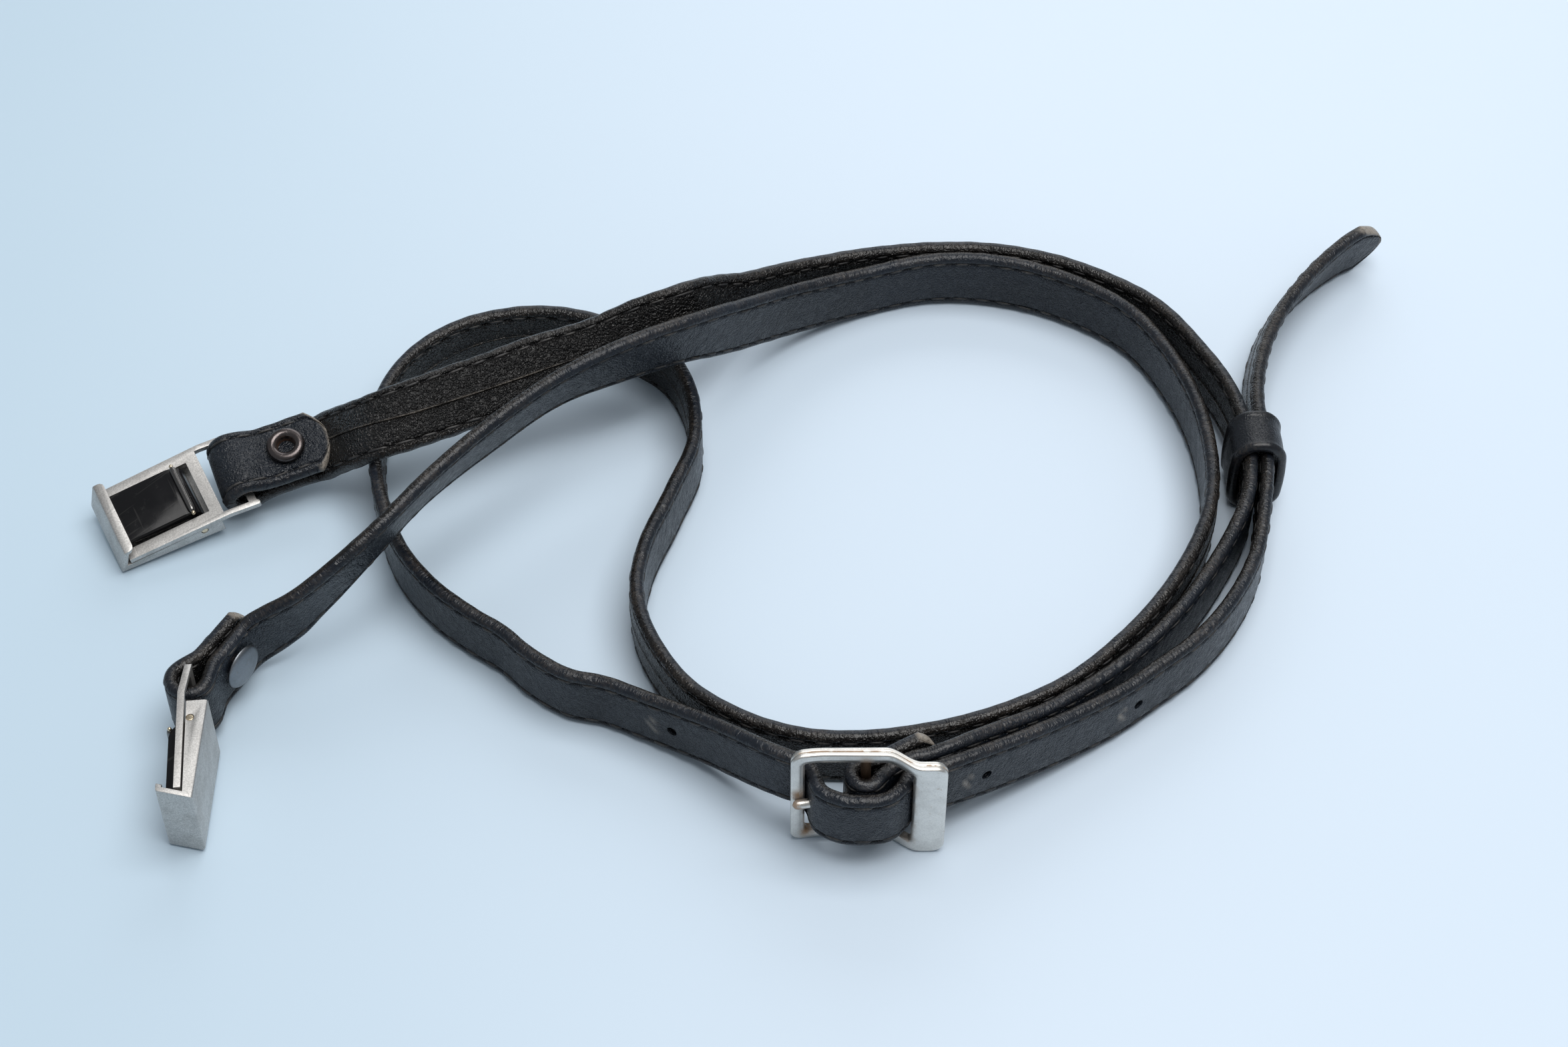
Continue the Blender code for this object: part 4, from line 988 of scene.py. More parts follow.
@dataclass(frozen=True)
class Leather:
    """Dyed leather, glossy where it is creased and worn pale at its folded edges; its colour holds painted
    shade in cracks and grooves and a painted blue reflection on the front.
    """

    name: str
    # The front's black dye is tinted blue: a painted reflection of the pale blue floor.
    front: tuple = (0.0055, 0.0080, 0.0125, 1)
    back: tuple = (0.0062, 0.0056, 0.0056, 1)
    worn: tuple = (0.066, 0.053, 0.043, 1)
    raw: tuple = (0.30, 0.265, 0.225, 1)
    # crack and groove: painted shade, darker colour laid into the grain's cracks and the stitch grooves.
    crack: tuple = (0.006, 0.006, 0.006, 1)
    groove: tuple = (0.006, 0.006, 0.007, 1)
    lip: tuple = (0.155, 0.135, 0.115, 1)
    front_gloss: float = 0.35
    back_gloss: float = 0.27
    rim_gloss: float = -0.05
    worn_gloss: float = 0.18
    specular: float = 0.36
    wear: float = 0.36
    pebble: float = 1.3
    skin: float = 0.62
    folding: float = 1.0
    wrinkle: float = 0.5
    swell: float = 2.0
    fibre: float = 1.8
    relief: float = 0.00014
    coarse_cells: float = 1600.0
    coarse_pores: float = 0.25
    fine_cells: float = 1900.0
    fine_pores: float = 0.45
    crease_grid: tuple = (620.0, 230.0, 1.0)
    swell_grid: tuple = (230.0, 130.0, 1.0)

    def make(self, effects: Effects) -> Material:
        """The material; it reads the masks back, rim, groove, lip, raw and scuff and the strand map.

        Args:
            effects: the shared groups.

        Returns:
            The material.
        """
        material, g, shader = blank(self.name)
        place = g.object_place()
        masks = {name: g.mask(name) for name in ("back", "rim", "groove", "lip", "raw", "scuff")}
        coarse = g.effect(effects.grain, Place=place, Cell=self.coarse_cells, Pores=self.coarse_pores)
        wear = g.effect(effects.wear, Place=place, Mask=masks["rim"], Amount=self.wear)["Wear"]
        cut = g.times(masks["raw"], g.span(g.noise(place, 1500.0, 4.0, 0.7), 0.25, 0.55, 0.25, 1.0), True)
        colour = self._colour(g, place, masks, coarse["Crack"], wear, cut)
        g.join(colour, shader.inputs["Base Color"])
        gloss = g.plus(self.front_gloss, g.times(masks["back"], self.back_gloss - self.front_gloss))
        gloss = g.plus(gloss, g.times(masks["rim"], self.rim_gloss))
        gloss = g.plus(gloss, g.times(g.math("MAXIMUM", cut, wear), self.worn_gloss))
        gloss = g.plus(gloss, g.span(g.noise(place, 700.0, 2.0), 0.3, 0.7, -0.05, 0.06))
        g.join(gloss, shader.inputs["Roughness"])
        shader.inputs["Specular IOR Level"].default_value = self.specular
        g.bump(shader, 1.0, self.relief, self._height(g, effects, place, masks, coarse["Height"]))
        return material

    def _colour(
        self, g: Graph, place: Socket, masks: dict, crack: Socket, wear: Socket, cut: Socket
    ) -> Socket:
        """The dye with its painted blue reflection on the front, darker with painted shade in cracks and
        grooves, and the bare leather where it is worn or cut.

        Args:
            g: the material's graph.
            place: the place on the object.
            masks: the mesh's masks.
            crack: the mask of the grain's cracks.
            wear: the mask of the wear.
            cut: the mask of the raw cuts.

        Returns:
            The colour.
        """
        shade = g.span(g.noise(place, 55.0, 4.0, 0.6), 0.3, 0.7)
        # The front colour carries the painted blue floor reflection; the back is the plain dye.
        colour = g.mix(masks["back"], g.mix(shade, self.front, scaled(self.front, 1.7)), self.back)
        # Painted shade: darker colour in the grain's cracks and in the stitch grooves.
        crack_shade = g.times(crack, g.plus(0.25, g.times(masks["back"], 0.35)))
        colour = g.mix(crack_shade, colour, self.crack)
        colour = g.mix(g.times(masks["groove"], 0.65), colour, self.groove)
        colour = g.mix(wear, colour, self.worn)
        pale = g.times(masks["lip"], g.span(g.noise(place, 420.0, 3.0), 0.32, 0.58, 0.15, 0.8), True)
        colour = g.mix(pale, colour, self.lip)
        return g.mix(g.math("MAXIMUM", cut, g.times(masks["scuff"], 0.8)), colour, self.raw)

    def _height(self, g: Graph, effects: Effects, place: Socket, masks: dict, coarse: Socket) -> Socket:
        """The relief: pebbled back, finer skin, wrinkled edges, creases, swells and cut fibres.

        Args:
            g: the material's graph.
            effects: the shared groups.
            place: the place on the object.
            masks: the mesh's masks.
            coarse: the height of the coarse grain.

        Returns:
            The height, in units of the relief.
        """
        back, rim = masks["back"], masks["rim"]
        strand = g.add("ShaderNodeUVMap", uv_map="strand").outputs[0]
        fine = g.effect(effects.grain, Place=place, Cell=self.fine_cells, Pores=self.fine_pores)["Height"]
        folds = g.effect(effects.wrinkles, Strand=strand, Rim=rim)["Height"]
        flat = g.math("SUBTRACT", 1.0, g.times(rim, 0.85))
        pebble = g.times(coarse, g.times(g.times(back, self.pebble), flat))
        skin = g.times(g.times(fine, g.plus(self.skin, g.times(back, -0.2))), flat)
        height = g.plus(g.plus(pebble, skin), g.times(folds, self.wrinkle * self.folding))
        bent = g.warped(strand, place, 360.0, 2.0, (0.0045, 0.0045, 0.0))
        creases = g.span(g.noise(g.stretched(bent, self.crease_grid), 1.0, 3.0, 0.62), 0.30, 0.62)
        creases = g.times(creases, g.plus(0.40, g.times(flat, 0.75)))
        height = g.plus(height, g.times(creases, self.folding))
        swells = g.noise(g.stretched(bent, self.swell_grid), 1.0, 2.0, 0.5)
        height = g.plus(height, g.times(swells, self.swell * self.folding))
        return g.plus(height, g.times(g.noise(place, 3000.0, 3.0, 0.7), g.times(masks["raw"], self.fibre)))


@dataclass(frozen=True)
class Metal:
    """Plated or bare metal with haze, fine scratches and places where the plating has gone."""

    name: str
    colour: tuple
    rough: float
    spoiled: tuple = (0.33, 0.20, 0.11, 1)
    spots: float = 0.0
    scratched: float = 0.5
    grit: float = 0.2
    masked: bool = False
    relief: float = 0.000018

    def make(self, effects: Effects) -> Material:
        """The material; a masked one also reads the mask rust.

        Args:
            effects: the shared groups.

        Returns:
            The material.
        """
        material, g, shader = blank(self.name)
        place = g.object_place()
        mask = g.mask("rust") if self.masked else 0.0
        spoiled = g.effect(effects.tarnish, Place=place, Mask=mask, Amount=self.spots)
        spots, haze = spoiled["Spots"], spoiled["Haze"]
        lines = g.effect(effects.scratches, Place=place, Amount=self.scratched)["Lines"]
        sand = g.span(g.noise(place, 4200.0, 2.0, 0.7), 0.36, 0.66, 0.0, self.grit)
        colour = g.mix(haze, self.colour, scaled(self.colour, 0.86))
        colour = g.mix(sand, colour, scaled(self.colour, 0.45))
        g.join(g.mix(spots, colour, self.spoiled), shader.inputs["Base Color"])
        rough = g.plus(self.rough, g.times(haze, 0.07))
        rough = g.plus(rough, g.times(spots, 0.35), True)
        g.join(g.plus(rough, g.times(lines, 0.12), True), shader.inputs["Roughness"])
        g.join(g.math("SUBTRACT", 1.0, g.times(spots, 0.8)), shader.inputs["Metallic"])
        height = g.plus(g.noise(place, 2600.0, 3.0, 0.6), g.times(lines, -1.2))
        g.bump(shader, 0.55, self.relief, g.plus(height, g.times(spots, 1.5)))
        return material


@dataclass(frozen=True)
class Lacquer:
    """Black baked lacquer on steel, glossy and finely scratched."""

    name: str
    colour: tuple = (0.0075, 0.0075, 0.0085, 1)
    dusty: tuple = (0.06, 0.058, 0.056, 1)
    rough: float = 0.12
    specular: float = 0.2
    scratched: float = 0.25
    relief: float = 0.00001

    def make(self, effects: Effects) -> Material:
        """The material.

        Args:
            effects: the shared groups.

        Returns:
            The material.
        """
        material, g, shader = blank(self.name)
        place = g.object_place()
        lines = g.effect(effects.scratches, Place=place, Amount=self.scratched)["Lines"]
        dust = g.span(g.noise(place, 900.0, 4.0, 0.7), 0.58, 0.78, 0.0, 0.35)
        g.join(g.mix(g.math("MAXIMUM", lines, dust), self.colour, self.dusty), shader.inputs["Base Color"])
        rough = g.plus(self.rough, g.span(g.noise(place, 330.0, 3.0), 0.35, 0.7, 0.0, 0.12))
        g.join(rough, shader.inputs["Roughness"])
        shader.inputs["Specular IOR Level"].default_value = self.specular
        g.bump(shader, 0.5, self.relief, g.noise(place, 1500.0, 2.0))
        return material


@dataclass(frozen=True)
class Thread:
    """Black waxed thread, worn in places."""

    name: str = "waxed_thread"
    colour: tuple = (0.012, 0.012, 0.013, 1)
    worn: tuple = (0.10, 0.09, 0.08, 1)
    wear: float = 0.4
    rough: float = 0.5
    relief: float = 0.00006

    def make(self, effects: Effects) -> Material:
        """The material.

        Args:
            effects: the shared groups.

        Returns:
            The material.
        """
        material, g, shader = blank(self.name)
        place = g.object_place()
        wear = g.effect(effects.wear, Place=place, Mask=1.0, Amount=self.wear)["Wear"]
        g.join(g.mix(wear, self.colour, self.worn), shader.inputs["Base Color"])
        shader.inputs["Roughness"].default_value = self.rough
        g.bump(shader, 0.6, self.relief, g.noise(place, 4200.0, 2.0))
        return material


@dataclass(frozen=True)
class Finishes:
    """Every finish of the strap, made once."""

    leather: Material
    keeper: Material
    thread: Material
    clip: Material
    buckle: Material
    bar: Material
    gate: Material
    roll: Material
    pin: Material
    flange: Material
    cap: Material

    @classmethod
    def make(cls) -> "Finishes":
        """Makes the groups and then the materials.

        Returns:
            The finishes.
        """
        finishes = {
            "leather": Leather("strap_leather"),
            "keeper": Leather(
                "keeper_leather", front_gloss=0.36, back_gloss=0.34, pebble=0.0, skin=0.34, folding=0.2
            ),
            "thread": Thread(),
            "clip": Metal("satin_nickel", (0.60, 0.585, 0.565, 1), 0.50, spots=0.1, grit=0.5),
            "buckle": Metal("buckle_nickel", (0.74, 0.72, 0.68, 1), 0.34, spots=0.35, masked=True),
            "bar": Metal("rusty_bar", (0.20, 0.13, 0.085, 1), 0.5, (0.12, 0.05, 0.025, 1), spots=1.0),
            "gate": Lacquer("black_lacquer"),
            "roll": Metal("blackened_steel", (0.17, 0.165, 0.16, 1), 0.22, scratched=0.1, grit=0.1),
            "pin": Metal("pin_steel", (0.74, 0.62, 0.45, 1), 0.22, scratched=0.1),
            "cap": Metal("satin_cap", (0.235, 0.25, 0.27, 1), 0.40, spots=0.3),
            "flange": Metal(
                "browned_steel", (0.115, 0.10, 0.098, 1), 0.25, (0.10, 0.045, 0.025, 1), 0.4, masked=True
            ),
        }
        effects = Effects()
        return cls(**{part: finish.make(effects) for part, finish in finishes.items()})


@dataclass(frozen=True)
class Section:
    """The strap's cross-section: leather folded over, its raw edges meeting in a seam down the back."""

    half_width: float = STRAP_WIDTH / 2
    half_thick: float = STRAP_THICK / 2
    edge_reach: float = 0.00105
    groove_at: float = 0.0045
    groove_depth: float = 0.00025
    groove_width: float = 0.00024
    crown: float = 0.00006
    seam_depth: float = 0.00035
    lip_rise: float = 0.00013
    rim_from: float = 0.00475

    def outline(self) -> tuple[Array, Array, Masks]:
        """The section as offsets across the width and out of the front, going once round.

        A folded edge is half an ellipse, (w - c + c cos a, t sin a). A face is t with a Gaussian
        dip at each stitch line and a slight crown between them, and the back also has the seam:
        a narrow dip with a raised lip beside it.

        Returns:
            Offsets across, offsets out of the front, and the masks rim, groove, lip and back.
        """
        w, t, c = self.half_width, self.half_thick, self.edge_reach
        a = np.radians(np.linspace(-78, 78, 11))
        edge = np.stack([w - c + c * np.cos(a), t * np.sin(a)], -1)
        near = [0.00042, 0.0003, 0.00019, 0.00009, 0, -0.00009, -0.00019, -0.0003, -0.0005]
        half = np.concatenate([self.groove_at + np.array(near), [0.0033, 0.0023, 0.0012]])
        front = np.concatenate([half, [0.0], -half[::-1]])
        seam = np.array([0.0006, 0.00034, 0.0002, 0.00012, 0.00005, 0, -0.00006, -0.00016, -0.0003, -0.0006])
        back = np.concatenate([half, seam, -half[::-1]])[::-1]

        def raised(u: Array) -> Array:
            """How far a face stands out at places across it."""
            dip = -self.groove_depth * np.exp(-((np.abs(u) - self.groove_at) / self.groove_width) ** 2)
            return t + dip + self.crown * np.clip(1 - (u / self.groove_at) ** 2, 0, 1)

        behind = raised(back) - self.seam_depth * np.exp(-((back + 0.00003) / 0.00006) ** 2)
        behind += self.lip_rise * np.exp(-((back - 0.00016) / 0.00013) ** 2)
        u = np.concatenate([edge[:, 0], front, -edge[:, 0], back])
        n = np.concatenate([edge[:, 1], raised(front), edge[::-1, 1], -behind])
        is_back = np.concatenate([(a < 0) * 1.0, 0 * front, (a[::-1] < 0) * 1.0, 1 + 0 * back])
        lip = np.concatenate([0 * a, 0 * front, 0 * a, np.exp(-((back - 0.00014) / 0.00011) ** 2)])
        rim = np.clip((np.abs(u) - self.rim_from) / (w - self.rim_from), 0, 1) ** 0.7
        groove = np.exp(-((np.abs(u) - self.groove_at) / 0.00017) ** 2)
        return u, n, {"rim": rim, "groove": groove, "lip": lip, "back": is_back}


@dataclass
class Strap:
    """One leather strap with its stitches and eyes."""

    name: str
    way: Way
    back: Back
    end_bulges: tuple[float, float]
    seed: int
    section: Section = field(default_factory=Section)
    eyes: list[float] = field(default_factory=list)
    rivet: Array | None = None
    end_rows: int = 9
    wobble: float = 0.00010
    pucker: float = 0.00009
    pit: float = 0.00022
    raw_band: float = 0.0005
    seam_wander: float = 0.00045
    swell: float = 0.03
    eye_dimple: float = 0.00014
    eye_segments: int = 28
    rivet_dimple: float = 0.00030
    thread: float = 0.00026
    stitch: float = 0.0030

    def _stations(self) -> tuple[Way, Array, Array]:
        """The way with a rounded end added at each end, the share of the width, and the cut mask.

        Returns:
            The way, the share and the mask, one row for each station.
        """
        place, way, wide, face = self.way.place, self.way.way, self.way.wide, self.way.face
        share = np.cos(np.linspace(0, 1, self.end_rows + 1)[1:] * math.radians(84))
        ones = np.ones(len(place))
        run, cut = self.way.run, 0 * ones
        for k, bulge in ((0, self.end_bulges[0]), (-1, self.end_bulges[1])):
            sign = -1 if k == 0 else 1
            reach = bulge * (1 - share**2)
            extra = [place[k] + sign * way[k] * reach[:, None]]
            extra += [np.repeat(v[k][None], len(share), 0) for v in (way, wide, face)]
            order = slice(None, None, sign)
            pairs = zip(extra, (place, way, wide, face))
            place, way, wide, face = (np.vstack([e[order], v] if k == 0 else [v, e]) for e, v in pairs)
            more = (run[k] + sign * reach)[order]
            run = np.concatenate([more, run] if k == 0 else [run, more])
            ones = np.concatenate([share[order], ones] if k == 0 else [ones, share])
            cut = np.concatenate([0 * share + 1, cut] if k == 0 else [cut, 0 * share + 1])
        return Way(run, place, way, wide, face), ones, cut

    def build(self) -> Object:
        """Carries the section along the way.

        A point is place + width u share + front n, where u also wanders at the folded edges and is
        pinched a little at each stitch, and n wanders over the strap's length.

        Returns:
            The strap, with its eyes punched.
        """
        line, share, cut = self._stations()
        u, n, masks = self.section.outline()
        s = line.run - line.run[0]
        front = -self.back.value
        upper = self.wobble * (wander(s, 0.011, self.seed) + 0.6 * wander(s, 0.0034, self.seed + 1))
        lower = self.wobble * (wander(s, 0.009, self.seed + 2) + 0.8 * wander(s, 0.0027, self.seed + 3))
        past_stitch = s - self._first_stitch() + STITCH_PITCH / 2
        between = (1 + np.cos(2 * math.pi * past_stitch / STITCH_PITCH)) / 2
        pinch = -self.pucker * between
        edge = np.where(u > 0, (upper + pinch)[:, None], -(lower + pinch)[:, None]) * masks["rim"]
        seam = self.seam_wander * wander(s, 0.016, self.seed + 4)[:, None]
        seam = seam * np.clip(1 - np.abs(u) / 0.0030, 0, 1) * masks["back"]
        across = u[None] * share[:, None] + (edge + seam) * share[:, None]
        swell = 1 + self.swell * wander(s, 0.013, self.seed + 5)[:, None] + 0 * u
        beside = np.exp(-((np.abs(u) - self.section.groove_at) / 0.00032) ** 2)
        pits = self.pit * (between**4)[:, None] * beside
        out = (n[None] * swell - np.sign(n) * (pits + self._dimples(line, u))) * front
        points = line.place[:, None] + line.wide[:, None] * across[..., None]
        points = points + line.face[:, None] * out[..., None]
        points[..., 2] = np.maximum(points[..., 2], OVER_FLOOR)
        rows, columns = across.shape
        uv = strand_map(s, closed_run(np.stack([u, n], -1)))
        flat = {k: np.tile(v, rows) for k, v in masks.items()}
        flat["raw"] = self._raw(line, u, share, cut).ravel()
        flat["scuff"] = self._scuffs(s, u).ravel()
        faces = quads(rows, columns, False, True)
        obj = piece(self.name, points.reshape(-1, 3), faces, end_caps(rows, columns), flat, uv)
        holes = [self._eye_cutter(k, at) for k, at in enumerate(self.eyes)]
        if holes:
            cut_away(obj, holes)
        return obj

    def _raw(self, line: Way, u: Array, share: Array, cut: Array) -> Array:
        """How raw the leather is: the cut wall, and a thin band of the faces along the cut.

        The cut is the parabola bulge (1 - (across / half width)^2), and the band fades with the
        distance from it.

        Args:
            line: the stations.
            u: the section's places across.
            share: each station's share of the width.
            cut: the mask of the end walls.

        Returns:
            A share for each point.
        """
        wall = cut[:, None] * np.clip((np.abs(u) - 0.0050) / 0.0003, 0, 1)
        across = u[None] * share[:, None] / self.section.half_width
        band = np.zeros_like(across)
        past = (self.way.run[0] - line.run, line.run - self.way.run[-1])
        for bulge, reach in zip(self.end_bulges, past):
            square = np.cos(np.arctan(2 * bulge * across / self.section.half_width))
            away = (bulge * (1 - across**2) - reach[:, None]) * square
            band = np.maximum(band, np.clip(1.25 - away / self.raw_band, 0, 1))
        return np.maximum(wall, band)

    def _dimples(self, line: Way, u: Array) -> Array:
        """How deep the faces are pressed in round each eye and the rivet, a bell of the distance.

        Args:
            line: the stations.
            u: the section's places across.

        Returns:
            A depth for each point.
        """
        deep = np.zeros((len(line.run), len(u)))
        for at in self.eyes:
            r = np.hypot(line.run[:, None] - at, u[None])
            deep += self.eye_dimple * np.exp(-((r / 0.0015) ** 2))
        if self.rivet is not None:
            away = line.place - self.rivet
            x = np.einsum("ij,ij->i", away, line.way)
            beside = np.linalg.norm(away, axis=1) < 0.0080
            r = np.hypot(x[:, None], u[None])
            deep += self.rivet_dimple * np.exp(-((r / 0.0037) ** 4)) * beside[:, None]
        return deep

    def _first_stitch(self) -> float:
        """How far the first stitch's middle lies from the line's first station."""
        return self.end_bulges[0] + END_TO_STITCH

    def _scuffs(self, s: Array, u: Array) -> Array:
        """Pale scuffs, highest on one side of each eye's rim.

        Args:
            s: the stations' lengths from the first.
            u: the section's places across.

        Returns:
            A share for each point.
        """
        total = np.zeros((len(s), len(u)))
        for at in self.eyes:
            x = s[:, None] - (at - self.way.run[0])
            r = np.hypot(x, u[None])
            total += np.exp(-((r - EYE_RADIUS * 1.25) / 0.00036) ** 2) * np.clip(0.35 - x / 0.0012, 0, 1)
        return np.clip(total, 0, 1)

    def _eye_cutter(self, number: int, at: float) -> Object:
        """A round punch through the strap at an arc length.

        Args:
            number: its number in the strap.
            at: the arc length.

        Returns:
            The punch.
        """
        spot = self.way.at(np.array([at]))
        normal = unit(spot.face[0])
        side = unit(np.cross(normal, UP))
        axes = Axes(side, np.cross(normal, side), normal, spot.place[0] - SHIFT)
        profile = np.array([[EYE_RADIUS, -STRAP_THICK], [EYE_RADIUS, STRAP_THICK]])
        return revolved(f"punch_{number}", profile, axes, self.eye_segments)

    def stitches(self) -> Object:
        """Every stitch of both lines on both faces, one mesh.

        A stitch is a rod of thread of radius r sqrt(1 - (2x)^6) at the share x of its length from
        its middle. It dives into the leather: its middle line lies 0.1 mm under the face, and
        0.36 mm (2x)^4 more towards its ends.

        Returns:
            The stitches.
        """
        start, stop = self.way.run[0] + END_TO_STITCH, self.way.run[-1] - END_TO_STITCH
        middles = np.arange(start, stop, STITCH_PITCH)
        rng = np.random.default_rng(self.seed + 50)
        x = np.linspace(-0.5, 0.5, 8)
        thick = self.thread * np.sqrt(np.clip(1 - (2 * x) ** 6, 0.05, 1))
        a = np.linspace(0, 2 * math.pi, 7, endpoint=False)
        grids = []
        for line in (-1, 1):
            for side in (-1, 1):
                size = rng.uniform(0.86, 1.06, len(middles))
                slip = rng.normal(0, 0.00006, len(middles))
                s = middles[:, None] + x[None] * self.stitch * size[:, None]
                f = self.way.at(s.ravel())
                u = line * (self.section.groove_at + slip[:, None] + 0 * s) + line * 0.00012 * x[None]
                deep = self.section.half_thick - 0.00010 - 0.00036 * (2 * x[None]) ** 4 + 0 * s
                middle = f.place + f.wide * u.reshape(-1, 1) + f.face * (side * deep).reshape(-1, 1)
                r = np.tile(thick, len(middles))[:, None, None]
                ring = f.wide[:, None] * np.cos(a)[None, :, None] + f.face[:, None] * np.sin(a)[None, :, None]
                grids.append((middle[:, None] + ring * r).reshape(len(middles), len(x), len(a), 3))
        grid = np.concatenate(grids)
        count, rings, sides = grid.shape[:3]
        one = quads(rings, sides, False, True)
        faces = (one[None] + np.arange(count)[:, None, None] * rings * sides).reshape(-1, 4)
        caps = []
        for k in range(count):
            caps += end_caps(rings, sides, k * rings * sides)
        if volume(grid[0].reshape(-1, 3), one) < 0:
            faces = faces[:, ::-1]
            caps = [c[::-1] for c in caps]
        points = grid.reshape(-1, 3)
        mesh = bpy.data.meshes.new(self.name + "_stitches")
        mesh.from_pydata(points.tolist(), [], faces.tolist() + caps)
        mesh.shade_smooth()
        obj = bpy.data.objects.new(self.name + "_stitches", mesh)
        bpy.context.scene.collection.objects.link(obj)
        return obj

    def dress(self, finishes: Finishes, node: str) -> None:
        """Builds the strap and its stitches, finishes them and puts them on their body.

        Args:
            finishes: the strap's finishes.
            node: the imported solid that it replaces.
        """
        body = self.build()
        body.data.materials.append(finishes.leather)
        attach(body, "strap")
        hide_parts(node)
        thread = self.stitches()
        thread.data.materials.append(finishes.thread)
        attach(thread, "strap")
        log.info("%s: %d faces", self.name, len(body.data.polygons))
        log.info("%s: %d faces", thread.name, len(thread.data.polygons))


@dataclass
class Keeper:
    """The leather ring round both straps."""

    axes: Axes
    wall: float = KEEPER_WALL
    length: float = 0.0080
    lip: float = 0.00036
    corner: float = 0.0026
    arch: float = 0.0006
    crown: float = 0.00012
    back_share: float = 0.35

    def build(self) -> Object:
        """Carries the wall's section round a rounded rectangle.

        The section is a stadium, thicker by the lip at both ends; the path is the middle of the
        wall, four straights joined by quarter circles.

        Returns:
            The keeper.
        """
        half_x = (LAYER + STRAP_THICK) / 2 + KEEPER_CLEAR + self.wall / 2
        half_z = STRAP_WIDTH / 2 + KEEPER_CLEAR + self.wall / 2
        r = self.corner
        path, out = [], []
        for k, (sx, sz) in enumerate(((1, 1), (-1, 1), (-1, -1), (1, -1))):
            a = math.pi / 2 * (k + np.linspace(0, 1, 12))
            path.append(np.stack([sx * (half_x - r) + r * np.cos(a), sz * (half_z - r) + r * np.sin(a)], -1))
            out.append(np.stack([np.cos(a), np.sin(a)], -1))
            nxt = ((-1, 1), (-1, -1), (1, -1), (1, 1))[k]
            b = math.pi / 2 * (k + 1)
            end = np.array([nxt[0] * (half_x - r) + r * math.cos(b), nxt[1] * (half_z - r) + r * math.sin(b)])
            t = np.linspace(0, 1, 10)[1:-1, None]
            path.append(path[-1][-1] * (1 - t) + end * t)
            out.append(np.repeat(out[-1][-1:], len(t), 0))
        path, out = np.vstack(path), np.vstack(out)
        bulge = np.cos(math.pi / 2 * path / np.array([half_x, half_z]))
        path[:, 1] += np.where(path[:, 1] > 0, self.arch * np.clip(bulge[:, 0], 0, 1), 0)
        path[:, 0] += np.sign(path[:, 0]) * self.arch * 0.7 * np.clip(bulge[:, 1], 0, 1)
        y = np.linspace(-1, 1, 21)
        swell = self.wall / 2 + self.lip * (np.abs(y) ** 6) + self.crown * (1 - y * y)
        flat = self.length / 2 - self.wall / 2
        a = np.radians(np.linspace(90, -90, 11))[1:-1]
        tip = swell[-1]
        outer = np.stack([swell, y * flat], -1)
        right = np.stack([tip * np.sin(a), flat + tip * np.cos(a)], -1)
        inner = np.stack([-self.wall / 2 + 0 * y, y[::-1] * flat], -1)
        left = np.stack([-tip * np.sin(a), -flat - tip * np.cos(a)], -1)
        section = np.vstack([outer, right, inner, left])
        section[:, 0] = np.maximum(section[:, 0], -self.wall / 2)
        rim = np.clip((np.abs(section[:, 1]) - flat + 0.0006) / 0.0008, 0, 1)
        grid = np.empty((len(path), len(section), 3))
        grid[..., 0] = path[:, None, 0] + out[:, None, 0] * section[None, :, 0]
        grid[..., 2] = path[:, None, 1] + out[:, None, 1] * section[None, :, 0]
        grid[..., 1] = section[None, :, 1]
        masks = {"rim": np.tile(rim, len(path)), "back": np.full(grid.shape[:2], self.back_share).ravel()}
        uv = strand_map(closed_run(path), closed_run(section))
        faces = quads(len(path), len(section), True, True)
        points = self.axes.place(grid.reshape(-1, 3))
        points[:, 2] = np.maximum(points[:, 2], OVER_FLOOR)
        return piece("keeper_ring", points, faces, None, masks, uv)

    def dress(self, finishes: Finishes) -> None:
        """Builds the keeper, finishes it and puts it on its body.

        Args:
            finishes: the strap's finishes.
        """
        ring = self.build()
        ring.data.materials.append(finishes.keeper)
        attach(ring, "strap")
        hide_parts("keeper")
        log.info("keeper: %d faces", len(ring.data.polygons))


